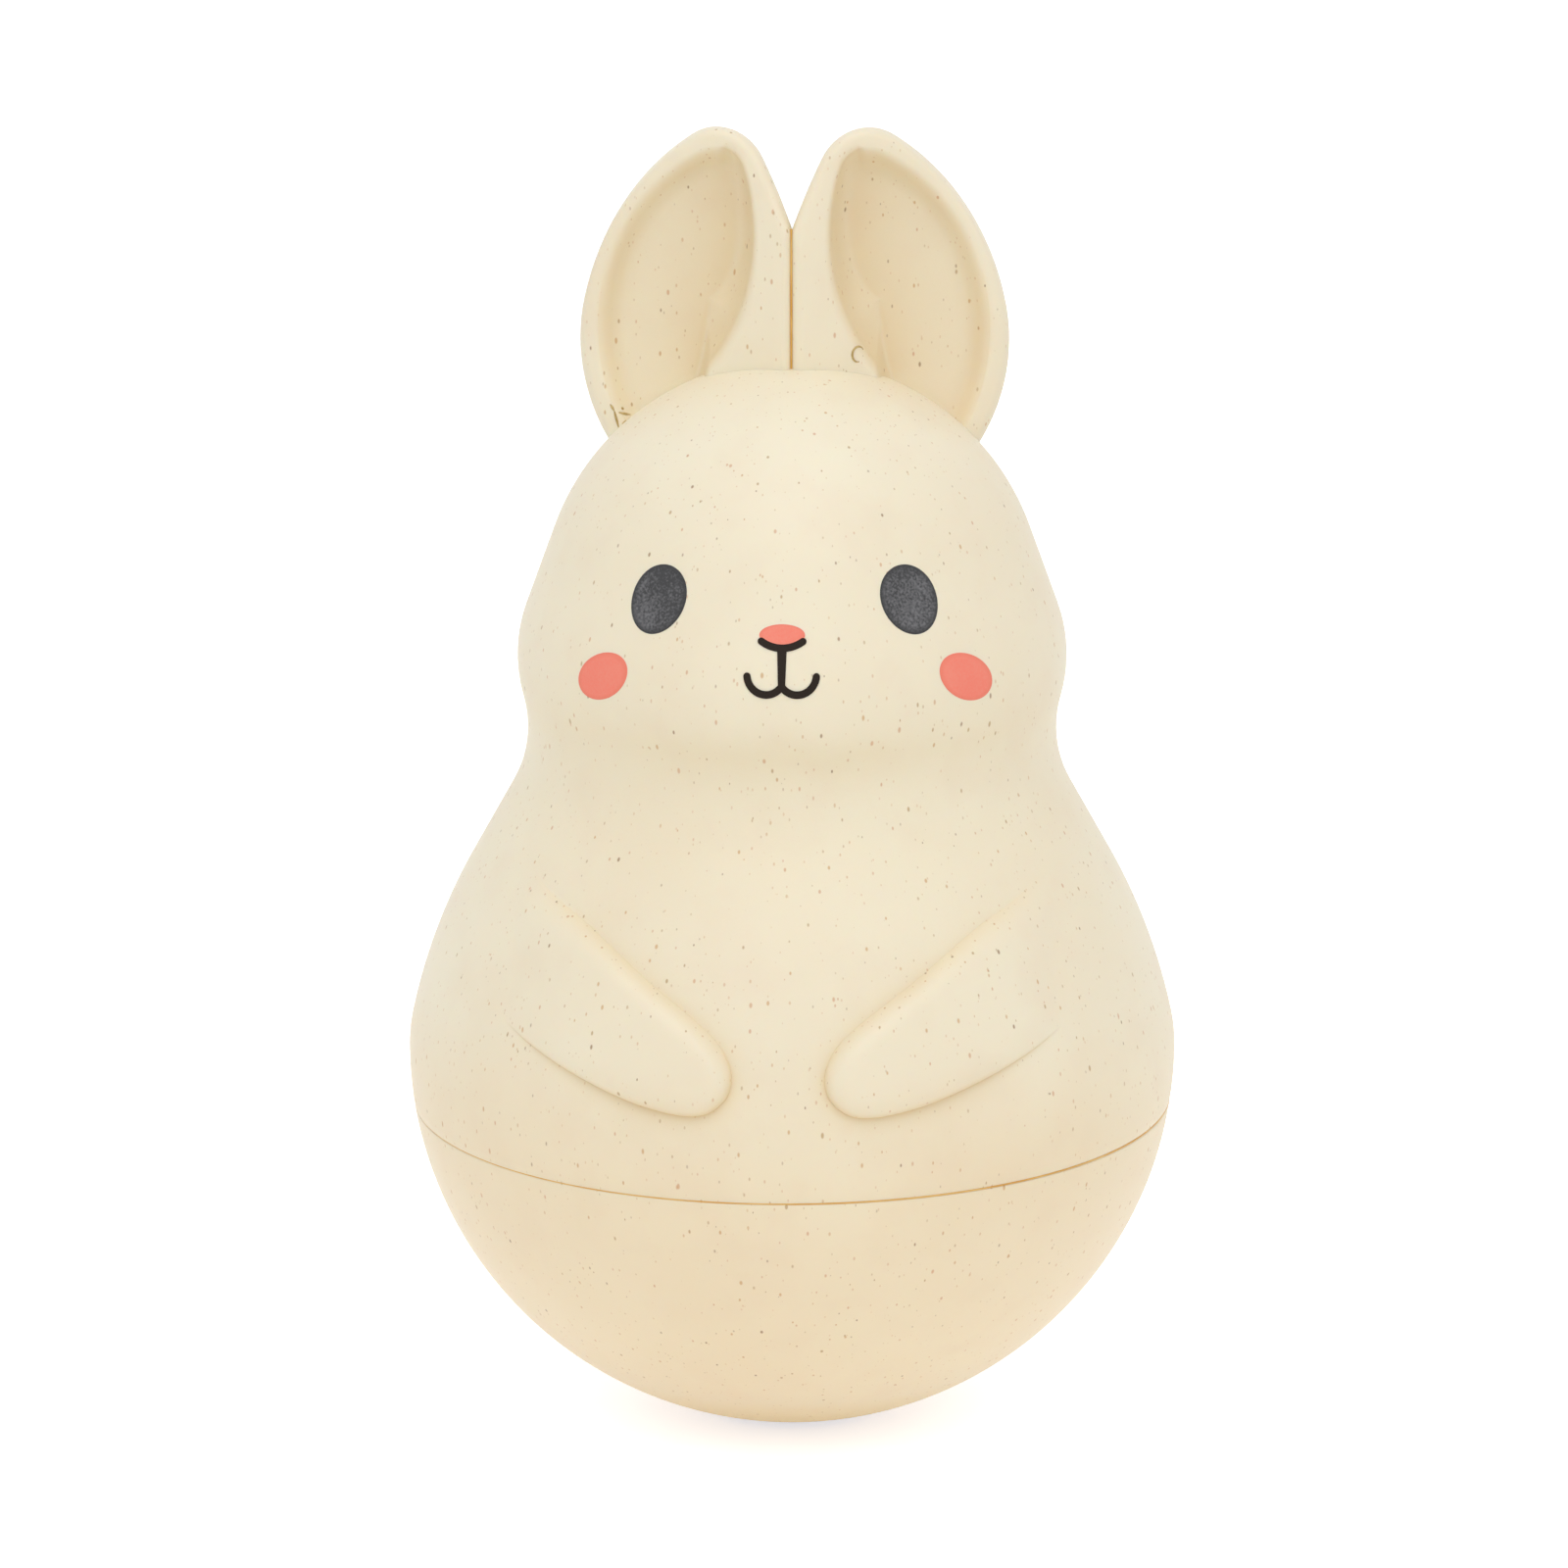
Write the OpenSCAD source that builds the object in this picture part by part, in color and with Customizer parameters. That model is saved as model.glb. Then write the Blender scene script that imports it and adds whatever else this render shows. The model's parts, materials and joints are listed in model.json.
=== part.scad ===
// Roly poly rabbit: a weighted bowl that rolls upright, a hollow body and head in one turned shape with
// two arms in relief, two dished ears, printed face, and a chime inside that rings as the toy rocks.
// Millimetres, +Z up, the face looks along -Y. Left and right are as seen from the front.

/* [Bowl and seam] */
// Radius of the ball that the toy rolls on, which is also its widest part
roll_r = 47.5; // [44:0.5:52]
// Radius of the small flat at the very bottom, where the moulding gate is trimmed
foot_r = 5; // [3:0.5:8]
// Wall of the bowl, the body and the head
wall = 2.2; // [1.8:0.1:3]
// How far the seam lies below the widest part
seam_drop = 6.8; // [4:0.2:9]
// Open line that shows between bowl and body
seam_gap = 0.3; // [0.1:0.05:0.6]
// Height of the bowl's spigot inside the body
spigot_h = 5; // [4:0.5:8]
// Wall of the spigot
spigot_t = 1.5; // [1.2:0.1:2]
// Wall that the rebate leaves in the body outside the spigot
rebate_wall = 1.5; // [1.2:0.1:1.8]
// How far the snap bead stands out of the spigot
bead_h = 0.4; // [0.2:0.05:0.6]

/* [Body and head profile] */
// Radius of the turn just above the widest part
hip_r = 18; // [12:1:30]
// Inward tilt of the wall at the end of that turn, in degrees
hip_tilt = 12.3; // [8:0.1:16]
// Radius of the long curve of the belly
belly_r = 72; // [60:1:90]
// Inward tilt of the straight shoulder, in degrees
shoulder_tilt = 29.3; // [24:0.1:34]
// Length of the straight shoulder
shoulder_len = 10.2; // [6:0.2:14]
// Radius of the hollow of the neck
neck_r = 16; // [12:0.5:22]
// Outward tilt of the wall under the cheeks, in degrees
chin_tilt = 15.3; // [10:0.1:20]
// Radius of the round of the cheeks
cheek_r = 17.7; // [14:0.1:22]
// Inward tilt of the straight brow, in degrees
brow_tilt = 20; // [16:0.5:24]
// Length of the straight brow
brow_len = 10.2; // [6:0.2:13]

/* [Arms] */
// Distance of the round of each paw from the middle
paw_x = 11.3; // [9.5:0.1:14]
// Height of the paw over the widest part
paw_up = 8.8; // [6:0.1:11]
// Radius of the round of the paw
paw_r = 5.2; // [4:0.1:6]
// Distance of the round of each shoulder from the middle
arm_top_x = 30; // [26:0.5:33]
// Height of the shoulder end of the arm over the widest part
arm_top_up = 19; // [16:0.5:22]
// Radius of the shoulder end
arm_top_r = 8; // [6:0.5:9]
// How far the paw stands out of the belly
paw_relief = 1.4; // [1:0.1:2]
// How far the shoulder end stands out of the body
arm_top_relief = 0.4; // [0.3:0.1:0.8]

/* [Ears] */
// Angle that each ear turns outward, in degrees
ear_turn = 22; // [12:1:30]
// How far the front edges of the ears lie ahead of the middle of the head
ear_ahead = 4; // [2:0.5:6]
// Gap between the two ears where their stems lie side by side
ear_gap = 0.2; // [0.1:0.05:0.4]
// Deepest thickness of an ear, from front rim to the back
ear_deep = 9; // [7:0.2:11]
// Wall behind the dish of the ear
ear_wall = 2.3; // [1.8:0.1:3]
// Crossways radius of the back of an ear
ear_back_r = 30; // [26:1:40]
// Lengthways radius of the back of an ear
ear_back_long_r = 80; // [70:1:110]
// Distance of the deepest line of the ear from its front inner edge
ear_deep_x = 11; // [9:0.5:13]
// Height of the deepest place of the ear over the centre of the crown
ear_deep_up = 32; // [28:1:36]
// Centre of the round tip: out from the front inner edge, and up from the centre of the crown
ear_tip = [10.1, 52.9]; // [8:0.1:54]
// Radius of the round tip
ear_tip_r = 7; // [5.5:0.1:8]
// Radius of the long curve from the tip down the outer side
ear_side_r = 33.8; // [30:0.2:38]
// Radius of the fuller curve below it
ear_low_r = 23.3; // [20:0.1:26]
// Radius of the almost straight inner side
ear_inner_r = 87; // [70:1:110]
// How far the centre of the dish's round top end lies out and up from that of the ear's tip
dish_shift = [0.7, -0.1]; // [-1:0.1:1]
// Radius of the round top end of the dish
dish_tip_r = 4.8; // [3.8:0.1:5.5]
// Radius of the dish's edge along the stem
dish_stem_r = 24.2; // [21:0.2:28]
// Radius of the dish's edge below its top end, on the outer side
dish_side_r = 20.2; // [18:0.2:22]
// Radius of the dish's edge lower down on the outer side
dish_low_r = 27.3; // [25:0.2:30]
// Distance of each ear's fixing peg from the middle
peg_x = 5; // [4.6:0.1:6]
// Distance of each ear's fixing peg behind the middle
peg_y = 2; // [1:0.1:3]
// Radius of the fixing peg
peg_r = 2.6; // [2.4:0.1:3]
// How far the peg reaches in under the crown's wall
peg_in = 3.5; // [3:0.1:5]

/* [Ear clamp] */
// Width of the saddle that holds both ears from inside the head
clamp_w = 14; // [12:0.5:16]
// Length of the saddle
clamp_len = 36; // [32:0.5:40]
// Thickness of the saddle under the pegs
clamp_t = 2.5; // [2:0.1:3.5]
// Clearance between the saddle's round top and the inside of the crown
clamp_fit = 0.2; // [0.1:0.05:0.3]

/* [Counterweight] */
// Height of the weight's underside over the floor
weight_z = 5.5; // [4.5:0.1:7]
// Height of the weight
weight_h = 9.5; // [8:0.1:11]
// Clearance between the weight's round side and the bowl
weight_fit = 1; // [0.6:0.1:1.5]
// Width of the ring in the bowl that the weight stands on
seat_w = 3; // [2:0.2:5]

/* [Chime] */
// Height of the underside of the chime's base over the floor
base_z = 24; // [22:0.2:26]
// Thickness of the base
base_t = 2.5; // [2:0.1:3.5]
// Clearance between the base's rim and the bowl
base_fit = 0.6; // [0.4:0.1:1.5]
// Distance of the rods from the middle
rod_ring = 16; // [15.5:0.1:17.5]
// Radius of a rod
rod_r = 1.25; // [1:0.05:1.5]
// Length of the longest rod, which rings lowest
rod_len = 46; // [42:0.5:47]
// How much shorter each next rod is
rod_step = 4; // [2:0.5:6]
// Distance of each bridge leg's middle from the middle of the toy
leg_x = 24; // [23:0.2:25]
// Width of the bridge's legs and beam, from front to back
bridge_w = 8; // [8:0.2:10]
// Thickness of a bridge leg
leg_t = 5; // [4:0.2:6]
// Height of the underside of the bridge's beam over the floor
beam_z = 78; // [77:0.2:79]
// Thickness of the beam
beam_t = 4; // [3:0.2:5]
// Distance of the bridge's screws from the middle
bridge_screw_x = 31; // [30.5:0.1:32]

/* [Clapper] */
// Radius of the clapper's ball
ball_r = 7; // [6:0.1:7.2]
// Height of the ball's centre over the floor
ball_z = 46; // [44:0.2:48]
// How far the first pivot lies under the beam
hang_drop = 4; // [4:0.1:5]
// Distance between the two crossed pivots
link_len = 6; // [6:0.1:7]
// Radius of both pivot pins
pin_r = 1; // [0.8:0.05:1.2]
// Radius of the rounds of metal or plastic about a pin
eye_r = 2.4; // [2.2:0.1:2.6]
// Clear width between the two lugs of the bridge
lug_gap = 8; // [7:0.2:9]
// Thickness of a lug
lug_t = 2.5; // [2:0.1:3]
// Width of the link's lower eye
link_w = 5; // [4.5:0.1:6]
// Thickness of each cheek of the clapper's fork
fork_t = 1.5; // [1.2:0.1:2]
// Radius of the clapper's stem
stem_r = 1.25; // [1:0.05:1.5]

/* [Printed face] */
// Thickness of the printed ink
ink_t = 0.2; // [0.1:0.05:0.3]
// Turn of each eye from the middle of the face, in degrees
eye_turn = 29.5; // [24:0.1:34]
// Height of the eyes over the start of the cheeks
eye_up = 17.1; // [15:0.1:18]
// Width of an eye
eye_w = 7.5; // [6:0.1:9]
// Height of an eye
eye_h = 8.1; // [7:0.1:9]
// Lean of the eyes' tops towards the middle, in degrees
eye_lean = 28; // [0:1:35]
// Turn of each cheek spot from the middle of the face, in degrees
spot_turn = 40.7; // [36:0.1:44]
// Height of the cheek spots over the start of the cheeks
spot_up = 7.7; // [6:0.1:9]
// Width of a cheek spot
spot_w = 8.7; // [6:0.1:9]
// Height of a cheek spot
spot_h = 5.4; // [4:0.1:7]
// Lean of the cheek spots, inner ends up, in degrees
spot_lean = 21.5; // [0:0.5:30]
// Height of the nose over the start of the cheeks
nose_up = 14; // [12.5:0.1:15]
// Width of the nose
nose_w = 5.3; // [4:0.1:7]
// Height of the nose
nose_h = 2.5; // [2:0.1:3.5]
// Width of the lines of the mouth
line_w = 0.85; // [0.6:0.05:1.2]
// Width of the line under the nose, between its ends
lip_w = 4.8; // [3:0.1:5]
// How far the ends of that line lie below the middle of the nose
lip_down = 0.7; // [0.5:0.05:1]
// How far its middle dips below its ends
lip_dip = 0.75; // [0.4:0.05:1]
// Radius of each half of the smile
smile_r = 2.2; // [2:0.05:2.6]
// Distance of the centres of the two halves from the middle
smile_x = 1.8; // [1.5:0.05:1.9]
// How far those centres lie below the middle of the nose
smile_down = 4.4; // [4:0.1:5]

/* [Fits and screws] */
// Clearance on each side of a pushed-in or located piece
push_fit = 0.1; // [0.05:0.01:0.2]
// Clearance about a pin that turns, or a pin or rod pressed home
pin_fit = 0.05; // [0.02:0.01:0.08]
// Side play of the link and of the fork
side_play = 0.3; // [0.2:0.05:0.5]
// Radius of a screw's shank
screw_r = 1.1; // [0.9:0.05:1.3]
// Radius of a screw's head
screw_head_r = 2.2; // [1.9:0.1:2.4]
// Height of a screw's head
screw_head_h = 1.5; // [1.2:0.1:1.8]
// Depth of the hole that a screw is driven into
screw_grip = 6; // [5:0.5:7]
// Room left in that hole past the screw's end
screw_end = 1; // [0.5:0.1:1.5]
// Wall of a boss about its screw
boss_wall = 2; // [1.6:0.1:2.4]

/* [Hidden] */
$fn = 96;

cream = "#f2e8cd";
ink_grey = "#5a5957";
coral = "#f68c79";
ink_black = "#261c13";
// Overlap of two solids that are one moulding
small = 0.01;
// Steps of each drawn arc and of each printed oval
arc_steps = 12;
print_steps = 40;
// How far a cut runs past the face that it opens
past = 1;

// Heights that follow from the rolling ball and its flat
roll_z = sqrt(pow(roll_r, 2) - pow(foot_r, 2));
seam_z = roll_z - seam_drop;
bowl_in_r = roll_r - wall;
bowl_top = seam_z - seam_gap;
function bowl_in_at(z) = sqrt(pow(bowl_in_r, 2) - pow(roll_z - z, 2));

// The seam's spigot and the rebate that takes it
seam_r = sqrt(pow(roll_r, 2) - pow(seam_drop, 2));
rebate_r = seam_r - rebate_wall;
spigot_r = rebate_r - push_fit;
spigot_root = 4;
bead_r = 0.7;
bead_z = seam_z + spigot_h - 2;
module bead(extra) {
    rotate_extrude() translate([spigot_r + bead_h - bead_r, bead_z]) circle(bead_r + extra);
}

// Body profile: each arc has its radius, negative where hollow, its tilts at both ends, and a line after it
seam_tilt = -asin(seam_drop / roll_r);
arcs = [
    [roll_r, seam_tilt, 0, 0],
    [hip_r, 0, hip_tilt, 0],
    [belly_r, hip_tilt, shoulder_tilt, shoulder_len],
    [-neck_r, shoulder_tilt, -chin_tilt, 0],
    [cheek_r, -chin_tilt, brow_tilt, brow_len]
];
function facing(a) = [cos(a), sin(a)];
function rising(a) = [-sin(a), cos(a)];
function arc_start(i) = i == 0
    ? [seam_r, seam_z]
    : arc_start(i - 1) + arcs[i - 1][0] * (facing(arcs[i - 1][2]) - facing(arcs[i - 1][1]))
        + arcs[i - 1][3] * rising(arcs[i - 1][2]);
brow_end = arc_start(len(arcs));
crown_r = brow_end[0] / cos(brow_tilt);
crown_z = brow_end[1] - crown_r * sin(brow_tilt);
cheek_z = arc_start(4)[1];

// Points of one arc, moved in by an inset, from the tilt a to the tilt b
function arc_points(centre, r, a, b, inset) =
    [for (k = [0 : arc_steps]) centre + (r - inset) * facing(a + (b - a) * k / arc_steps)];
function profile_arc(i, inset) = arc_points(
    arc_start(i) - arcs[i][0] * facing(arcs[i][1]), arcs[i][0], arcs[i][1], arcs[i][2], inset);
function crown_arc(last, inset) = arc_points([0, crown_z], crown_r, brow_tilt, last, inset);
function profile(inset) =
    concat([for (i = [0 : len(arcs) - 1]) each profile_arc(i, inset)], crown_arc(90, inset));

// Outer shape of body and head, moved in by an inset and drawn down by a skirt under the seam
module turned_body(inset, skirt) {
    p = profile(inset);
    rotate_extrude() polygon(concat([[0, seam_z - skirt], [p[0][0], seam_z - skirt]], p));
}

// Outline of an arm seen from the front: two rounds joined by their tangents
arm_run = [arm_top_x - paw_x, arm_top_up - paw_up];
arm_slope = atan2(arm_run[1], arm_run[0]);
arm_open = asin((arm_top_r - paw_r) / norm(arm_run));
function plain_arc(c, r, a, b) = arc_points(c, r, a, b, 0);
arm_outline = concat(
    plain_arc([paw_x, roll_z + paw_up], paw_r, arm_slope + 90 + arm_open, arm_slope + 270 - arm_open),
    plain_arc([arm_top_x, roll_z + arm_top_up], arm_top_r, arm_slope - 90 - arm_open, arm_slope + 90 + arm_open)
);

// Where the shoulder end of the arm lies on the body: the arm's surface swings out about this place
arm_hinge = [arm_top_x, -sqrt(pow(roll_r, 2) - pow(arm_top_x, 2)), roll_z + arm_top_up];
arm_lift = atan((paw_relief - arm_top_relief) / norm(arm_run));
module right_arm() {
    intersection() {
        rotate([90, 0, 0]) linear_extrude(2 * roll_r) polygon(arm_outline);
        translate(arm_hinge) rotate(arm_lift, [-arm_run[1], 0, arm_run[0]]) translate(-arm_hinge)
            turned_body(-arm_top_relief, 0);
    }
}

// Leaf of tangent arcs: round tip, then a side and a fuller low curve on the outside, and one inner side
function off(c, r, next_r, a) = c - (next_r - r) * facing(a);
function leaf(tip, tip_r, inner_r, side_r, low_r, turns) =
    let (side = off(tip, tip_r, side_r, turns[2]), low = off(side, side_r, low_r, turns[3])) concat(
        plain_arc(off(tip, tip_r, inner_r, turns[1]), inner_r, turns[0], turns[1]),
        plain_arc(tip, tip_r, turns[1], turns[2]),
        plain_arc(side, side_r, turns[2], turns[3]),
        plain_arc(low, low_r, turns[3], turns[4])
    );
// The angles at which the arcs of the ear and of its dish meet, from the inner side's foot round to the outer
ear_turns = [180, 152.8, 55, 12, -80];
dish_turns = [230, 158.8, 67, 31.5, -40];
ear_leaf = leaf(ear_tip, ear_tip_r, ear_inner_r, ear_side_r, ear_low_r, ear_turns);
dish_leaf = leaf(ear_tip + dish_shift, dish_tip_r, dish_stem_r, dish_side_r, dish_low_r, dish_turns);

// A place on the right ear: across from its front inner edge, up from the crown's centre, and forward
module on_ear() {
    translate([0, -ear_ahead, crown_z]) rotate([0, 0, ear_turn]) rotate([90, 0, 0]) children();
}

// The round back of the ear, moved in by an inset: a fat ring whose rim is the back's deepest line
module ear_back(inset) {
    translate([ear_deep_x, ear_deep_up, ear_back_long_r - ear_deep]) rotate([0, 90, 0])
        rotate_extrude() translate([ear_back_long_r - ear_back_r, 0]) circle(ear_back_r - inset);
}

module ear_form(outline, inset) {
    on_ear() intersection() {
        translate([0, 0, -ear_deep]) linear_extrude(ear_deep + (inset > 0 ? past : 0)) polygon(outline);
        ear_back(inset);
    }
}

crown_in_r = crown_r - wall;
peg_end = crown_z + sqrt(pow(crown_in_r, 2) - pow(peg_x, 2) - pow(peg_y, 2)) - peg_in;
clamp_z = peg_end - clamp_t;
peg_top = crown_z + crown_r + small;

module ear_peg(r, z0) {
    translate([peg_x, peg_y, z0]) cylinder(r = r, h = peg_top - z0);
}

module right_ear_shape() {
    difference() {
        union() {
            difference() {
                ear_form(ear_leaf, 0);
                ear_form(dish_leaf, ear_wall);
                translate([0, 0, crown_z]) sphere(crown_r);
            }
            ear_peg(peg_r, peg_end);
        }
        translate([ear_gap / 2 - 2 * roll_r, -roll_r, crown_z]) cube([2 * roll_r, 2 * roll_r, 2 * roll_r]);
        translate([peg_x, peg_y, peg_end - small]) cylinder(r = screw_r + pin_fit, h = screw_grip + small);
    }
}

// Pan-head screw with its head's seat at the origin, the shank along +Z
module screw(len) {
    cylinder(r = screw_r, h = len);
    translate([0, 0, -screw_head_h]) cylinder(r = screw_head_r, h = screw_head_h);
}

// Places of the screws that hold the chime's base to the bowl
boss_r = screw_r + boss_wall;
base_r = bowl_in_at(base_z) - base_fit;
boss_inset = 0.5;
base_ring = base_r - boss_r - boss_inset;
base_top = base_z + base_t;
base_turns = [90, 210, 330];
module at_base_screws() {
    for (a = base_turns) rotate([0, 0, a]) translate([base_ring, 0, 0]) children();
}
module at_bridge_screws() {
    for (side = [-1, 1]) translate([side * bridge_screw_x, 0, 0]) children();
}

// The weight's flat underside and the ring that it stands on
weight_r = bowl_in_r - weight_fit;
weight_flat_r = sqrt(pow(weight_r, 2) - pow(roll_z - weight_z, 2));
seat_inset = 0.5;
seat_r = weight_flat_r - seat_inset;
weight_top = weight_z + weight_h;
skirt_r = 26;
skirt_t = 2;

// Chime rods stand in sockets round the middle, the longest at the right
rod_turns = [0, 90, 180, 270];
socket_h = 5;
socket_sink = 1;
rod_z = base_top - socket_sink;
foot_t = 3;
foot_x = bridge_screw_x + screw_head_r + 1;
foot_w = bridge_w + 2;

// Pivots of the clapper
hang_z = beam_z - hang_drop;
swing_z = hang_z - link_len;
fork_in = link_w / 2 + side_play;
fork_out = fork_in + fork_t;
fork_len = 7.4;
fork_z = swing_z - fork_len;
web = 3.6;

module bottom_bowl() {
    color(cream) difference() {
        union() {
            rotate_extrude() intersection() {
                translate([0, roll_z]) difference() {
                    circle(roll_r);
                    circle(bowl_in_r);
                }
                square([roll_r, bowl_top]);
            }
            translate([0, 0, bowl_top - spigot_root]) rotate_extrude()
                translate([spigot_r - spigot_t, 0]) square([spigot_t, spigot_root + seam_gap + spigot_h]);
            bead(0);
            intersection() {
                union() {
                    rotate_extrude() translate([seat_r - seat_w, 0]) square([seat_w, weight_z]);
                    at_base_screws() cylinder(r = boss_r, h = base_z);
                }
                translate([0, 0, roll_z]) sphere(roll_r - wall / 2);
            }
        }
        at_base_screws() translate([0, 0, base_z - screw_grip]) cylinder(r = screw_r + pin_fit, h = roll_r);
    }
}

module body_shell() {
    color(cream) difference() {
        union() {
            turned_body(0, 0);
            right_arm();
            mirror([1, 0, 0]) right_arm();
        }
        turned_body(wall, past);
        translate([0, 0, seam_z - past]) cylinder(r = rebate_r, h = past + spigot_h + push_fit);
        bead(push_fit);
        ear_peg(peg_r + push_fit, clamp_z);
        mirror([1, 0, 0]) ear_peg(peg_r + push_fit, clamp_z);
    }
}

module right_ear() {
    color(cream) right_ear_shape();
}

module left_ear() {
    color(cream) mirror([1, 0, 0]) right_ear_shape();
}

module ear_clamp() {
    color("gainsboro") difference() {
        intersection() {
            translate([-clamp_len / 2, peg_y - clamp_w / 2, clamp_z]) cube([clamp_len, clamp_w, crown_r]);
            translate([0, 0, crown_z]) sphere(crown_in_r - clamp_fit);
        }
        for (side = [-1, 1]) translate([side * peg_x, peg_y, 0]) {
            translate([0, 0, peg_end]) cylinder(r = peg_r + push_fit, h = crown_r);
            translate([0, 0, clamp_z - past]) cylinder(r = screw_r + push_fit, h = crown_r);
        }
    }
}

module ear_screws() {
    color("silver") for (side = [-1, 1]) translate([side * peg_x, peg_y, clamp_z])
        screw(clamp_t + screw_grip - screw_end);
}

module counterweight() {
    color("dimgray") rotate_extrude() intersection() {
        translate([0, roll_z]) circle(weight_r);
        translate([0, weight_z]) square([roll_r, weight_h]);
    }
}

module chime_base() {
    color("gainsboro") difference() {
        union() {
            translate([0, 0, base_z]) cylinder(r = base_r, h = base_t);
            translate([0, 0, weight_top]) rotate_extrude()
                translate([skirt_r - skirt_t, 0]) square([skirt_t, base_z - weight_top]);
            for (a = rod_turns) rotate([0, 0, a]) translate([rod_ring, 0, base_z])
                cylinder(r = rod_r + boss_wall, h = base_t + socket_h);
            at_bridge_screws() translate([0, 0, base_top - screw_grip - screw_end])
                cylinder(r = boss_r, h = screw_grip + screw_end);
        }
        for (a = rod_turns) rotate([0, 0, a]) translate([rod_ring, 0, rod_z])
            cylinder(r = rod_r + pin_fit, h = roll_r);
        at_base_screws() translate([0, 0, base_z - past])
            cylinder(r = screw_r + push_fit, h = base_t + 2 * past);
        at_bridge_screws() translate([0, 0, base_top - screw_grip]) cylinder(r = screw_r + pin_fit, h = roll_r);
    }
}

module base_screws() {
    color("silver") at_base_screws() translate([0, 0, base_top]) mirror([0, 0, 1])
        screw(base_t + screw_grip - screw_end);
}

module chime_rod(i) {
    color("lightsteelblue") rotate([0, 0, rod_turns[i]]) translate([rod_ring, 0, rod_z])
        cylinder(r = rod_r, h = rod_len - i * rod_step);
}

module chime_bridge() {
    color("gainsboro") difference() {
        union() {
            translate([-leg_x - leg_t / 2, -bridge_w / 2, beam_z]) cube([2 * leg_x + leg_t, bridge_w, beam_t]);
            for (side = [-1, 1]) {
                translate([side * leg_x - leg_t / 2, -bridge_w / 2, base_top])
                    cube([leg_t, bridge_w, beam_z - base_top + small]);
                translate([side > 0 ? leg_x - leg_t / 2 : -foot_x, -foot_w / 2, base_top])
                    cube([foot_x - leg_x + leg_t / 2, foot_w, foot_t]);
                translate([side * (lug_gap + lug_t) / 2 - lug_t / 2, 0, hang_z]) {
                    rotate([0, 90, 0]) cylinder(r = eye_r, h = lug_t);
                    translate([0, -eye_r, 0]) cube([lug_t, 2 * eye_r, hang_drop + small]);
                }
            }
        }
        translate([-lug_gap, 0, hang_z]) rotate([0, 90, 0]) cylinder(r = pin_r + pin_fit, h = 2 * lug_gap);
        at_bridge_screws() translate([0, 0, base_top - past])
            cylinder(r = screw_r + push_fit, h = foot_t + 2 * past);
    }
}

module bridge_screws() {
    color("silver") at_bridge_screws() translate([0, 0, base_top + foot_t]) mirror([0, 0, 1])
        screw(foot_t + screw_grip - screw_end);
}

module hanger_pin() {
    pin_len = lug_gap + 2 * lug_t;
    color("silver") translate([-pin_len / 2, 0, hang_z]) rotate([0, 90, 0]) cylinder(r = pin_r, h = pin_len);
}

module clapper_link() {
    top_w = lug_gap - 2 * side_play;
    color("gainsboro") difference() {
        union() {
            translate([-top_w / 2, 0, hang_z]) rotate([0, 90, 0]) cylinder(r = eye_r, h = top_w);
            translate([0, link_w / 2, swing_z]) rotate([90, 0, 0]) cylinder(r = eye_r, h = link_w);
            translate([-web / 2, -web / 2, swing_z]) cube([web, web, link_len]);
        }
        translate([-top_w, 0, hang_z]) rotate([0, 90, 0]) cylinder(r = pin_r + pin_fit, h = 2 * top_w);
        translate([0, link_w, swing_z]) rotate([90, 0, 0]) cylinder(r = pin_r + pin_fit, h = 2 * link_w);
    }
}

module clapper_pin() {
    color("silver") translate([0, fork_out, swing_z]) rotate([90, 0, 0]) cylinder(r = pin_r, h = 2 * fork_out);
}

module clapper_arm() {
    color("gainsboro") difference() {
        union() {
            for (side = [-1, 1]) translate([0, side * (fork_in + fork_out) / 2 - fork_t / 2, swing_z]) {
                translate([0, fork_t, 0]) rotate([90, 0, 0]) cylinder(r = eye_r, h = fork_t);
                translate([-eye_r, 0, fork_z - swing_z]) cube([2 * eye_r, fork_t, swing_z - fork_z]);
            }
            translate([-eye_r, -fork_out, fork_z - fork_t]) cube([2 * eye_r, 2 * fork_out, fork_t + small]);
            translate([0, 0, ball_z]) cylinder(r = stem_r, h = fork_z - ball_z);
        }
        translate([0, 2 * fork_out, swing_z]) rotate([90, 0, 0])
            cylinder(r = pin_r + pin_fit, h = 4 * fork_out);
    }
}

module clapper_ball() {
    color("burlywood") translate([0, 0, ball_z]) difference() {
        sphere(ball_r);
        cylinder(r = stem_r + pin_fit, h = 2 * ball_r);
    }
}

// A thin skin over the face, from the start of the cheeks to a little above the brow
face_top_tilt = 34;
module face_skin() {
    rotate_extrude() polygon(concat(
        profile_arc(4, -ink_t), crown_arc(face_top_tilt, -ink_t),
        [for (p = [len(crown_arc(face_top_tilt, 0)) - 1 : -1 : 0]) crown_arc(face_top_tilt, 0)[p]],
        [for (p = [arc_steps : -1 : 0]) profile_arc(4, 0)[p]]
    ));
}

// Ink of an outline laid on the face at a turn from its middle and a height over the start of the cheeks
module inked(turn, up) {
    intersection() {
        face_skin();
        rotate([0, 0, turn]) translate([0, 0, cheek_z + up]) rotate([90, 0, 0])
            linear_extrude(roll_r) children();
    }
}

module oval(w, h) {
    polygon([for (k = [0 : print_steps - 1]) let (a = 360 * k / print_steps) [w / 2 * cos(a), h / 2 * sin(a)]]);
}

module right_eye() {
    color(ink_grey) inked(eye_turn, eye_up) rotate(eye_lean) oval(eye_w, eye_h);
}

module left_eye() {
    color(ink_grey) mirror([1, 0, 0]) inked(eye_turn, eye_up) rotate(eye_lean) oval(eye_w, eye_h);
}

module right_cheek() {
    color(coral) inked(spot_turn, spot_up) rotate(-spot_lean) oval(spot_w, spot_h);
}

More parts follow.
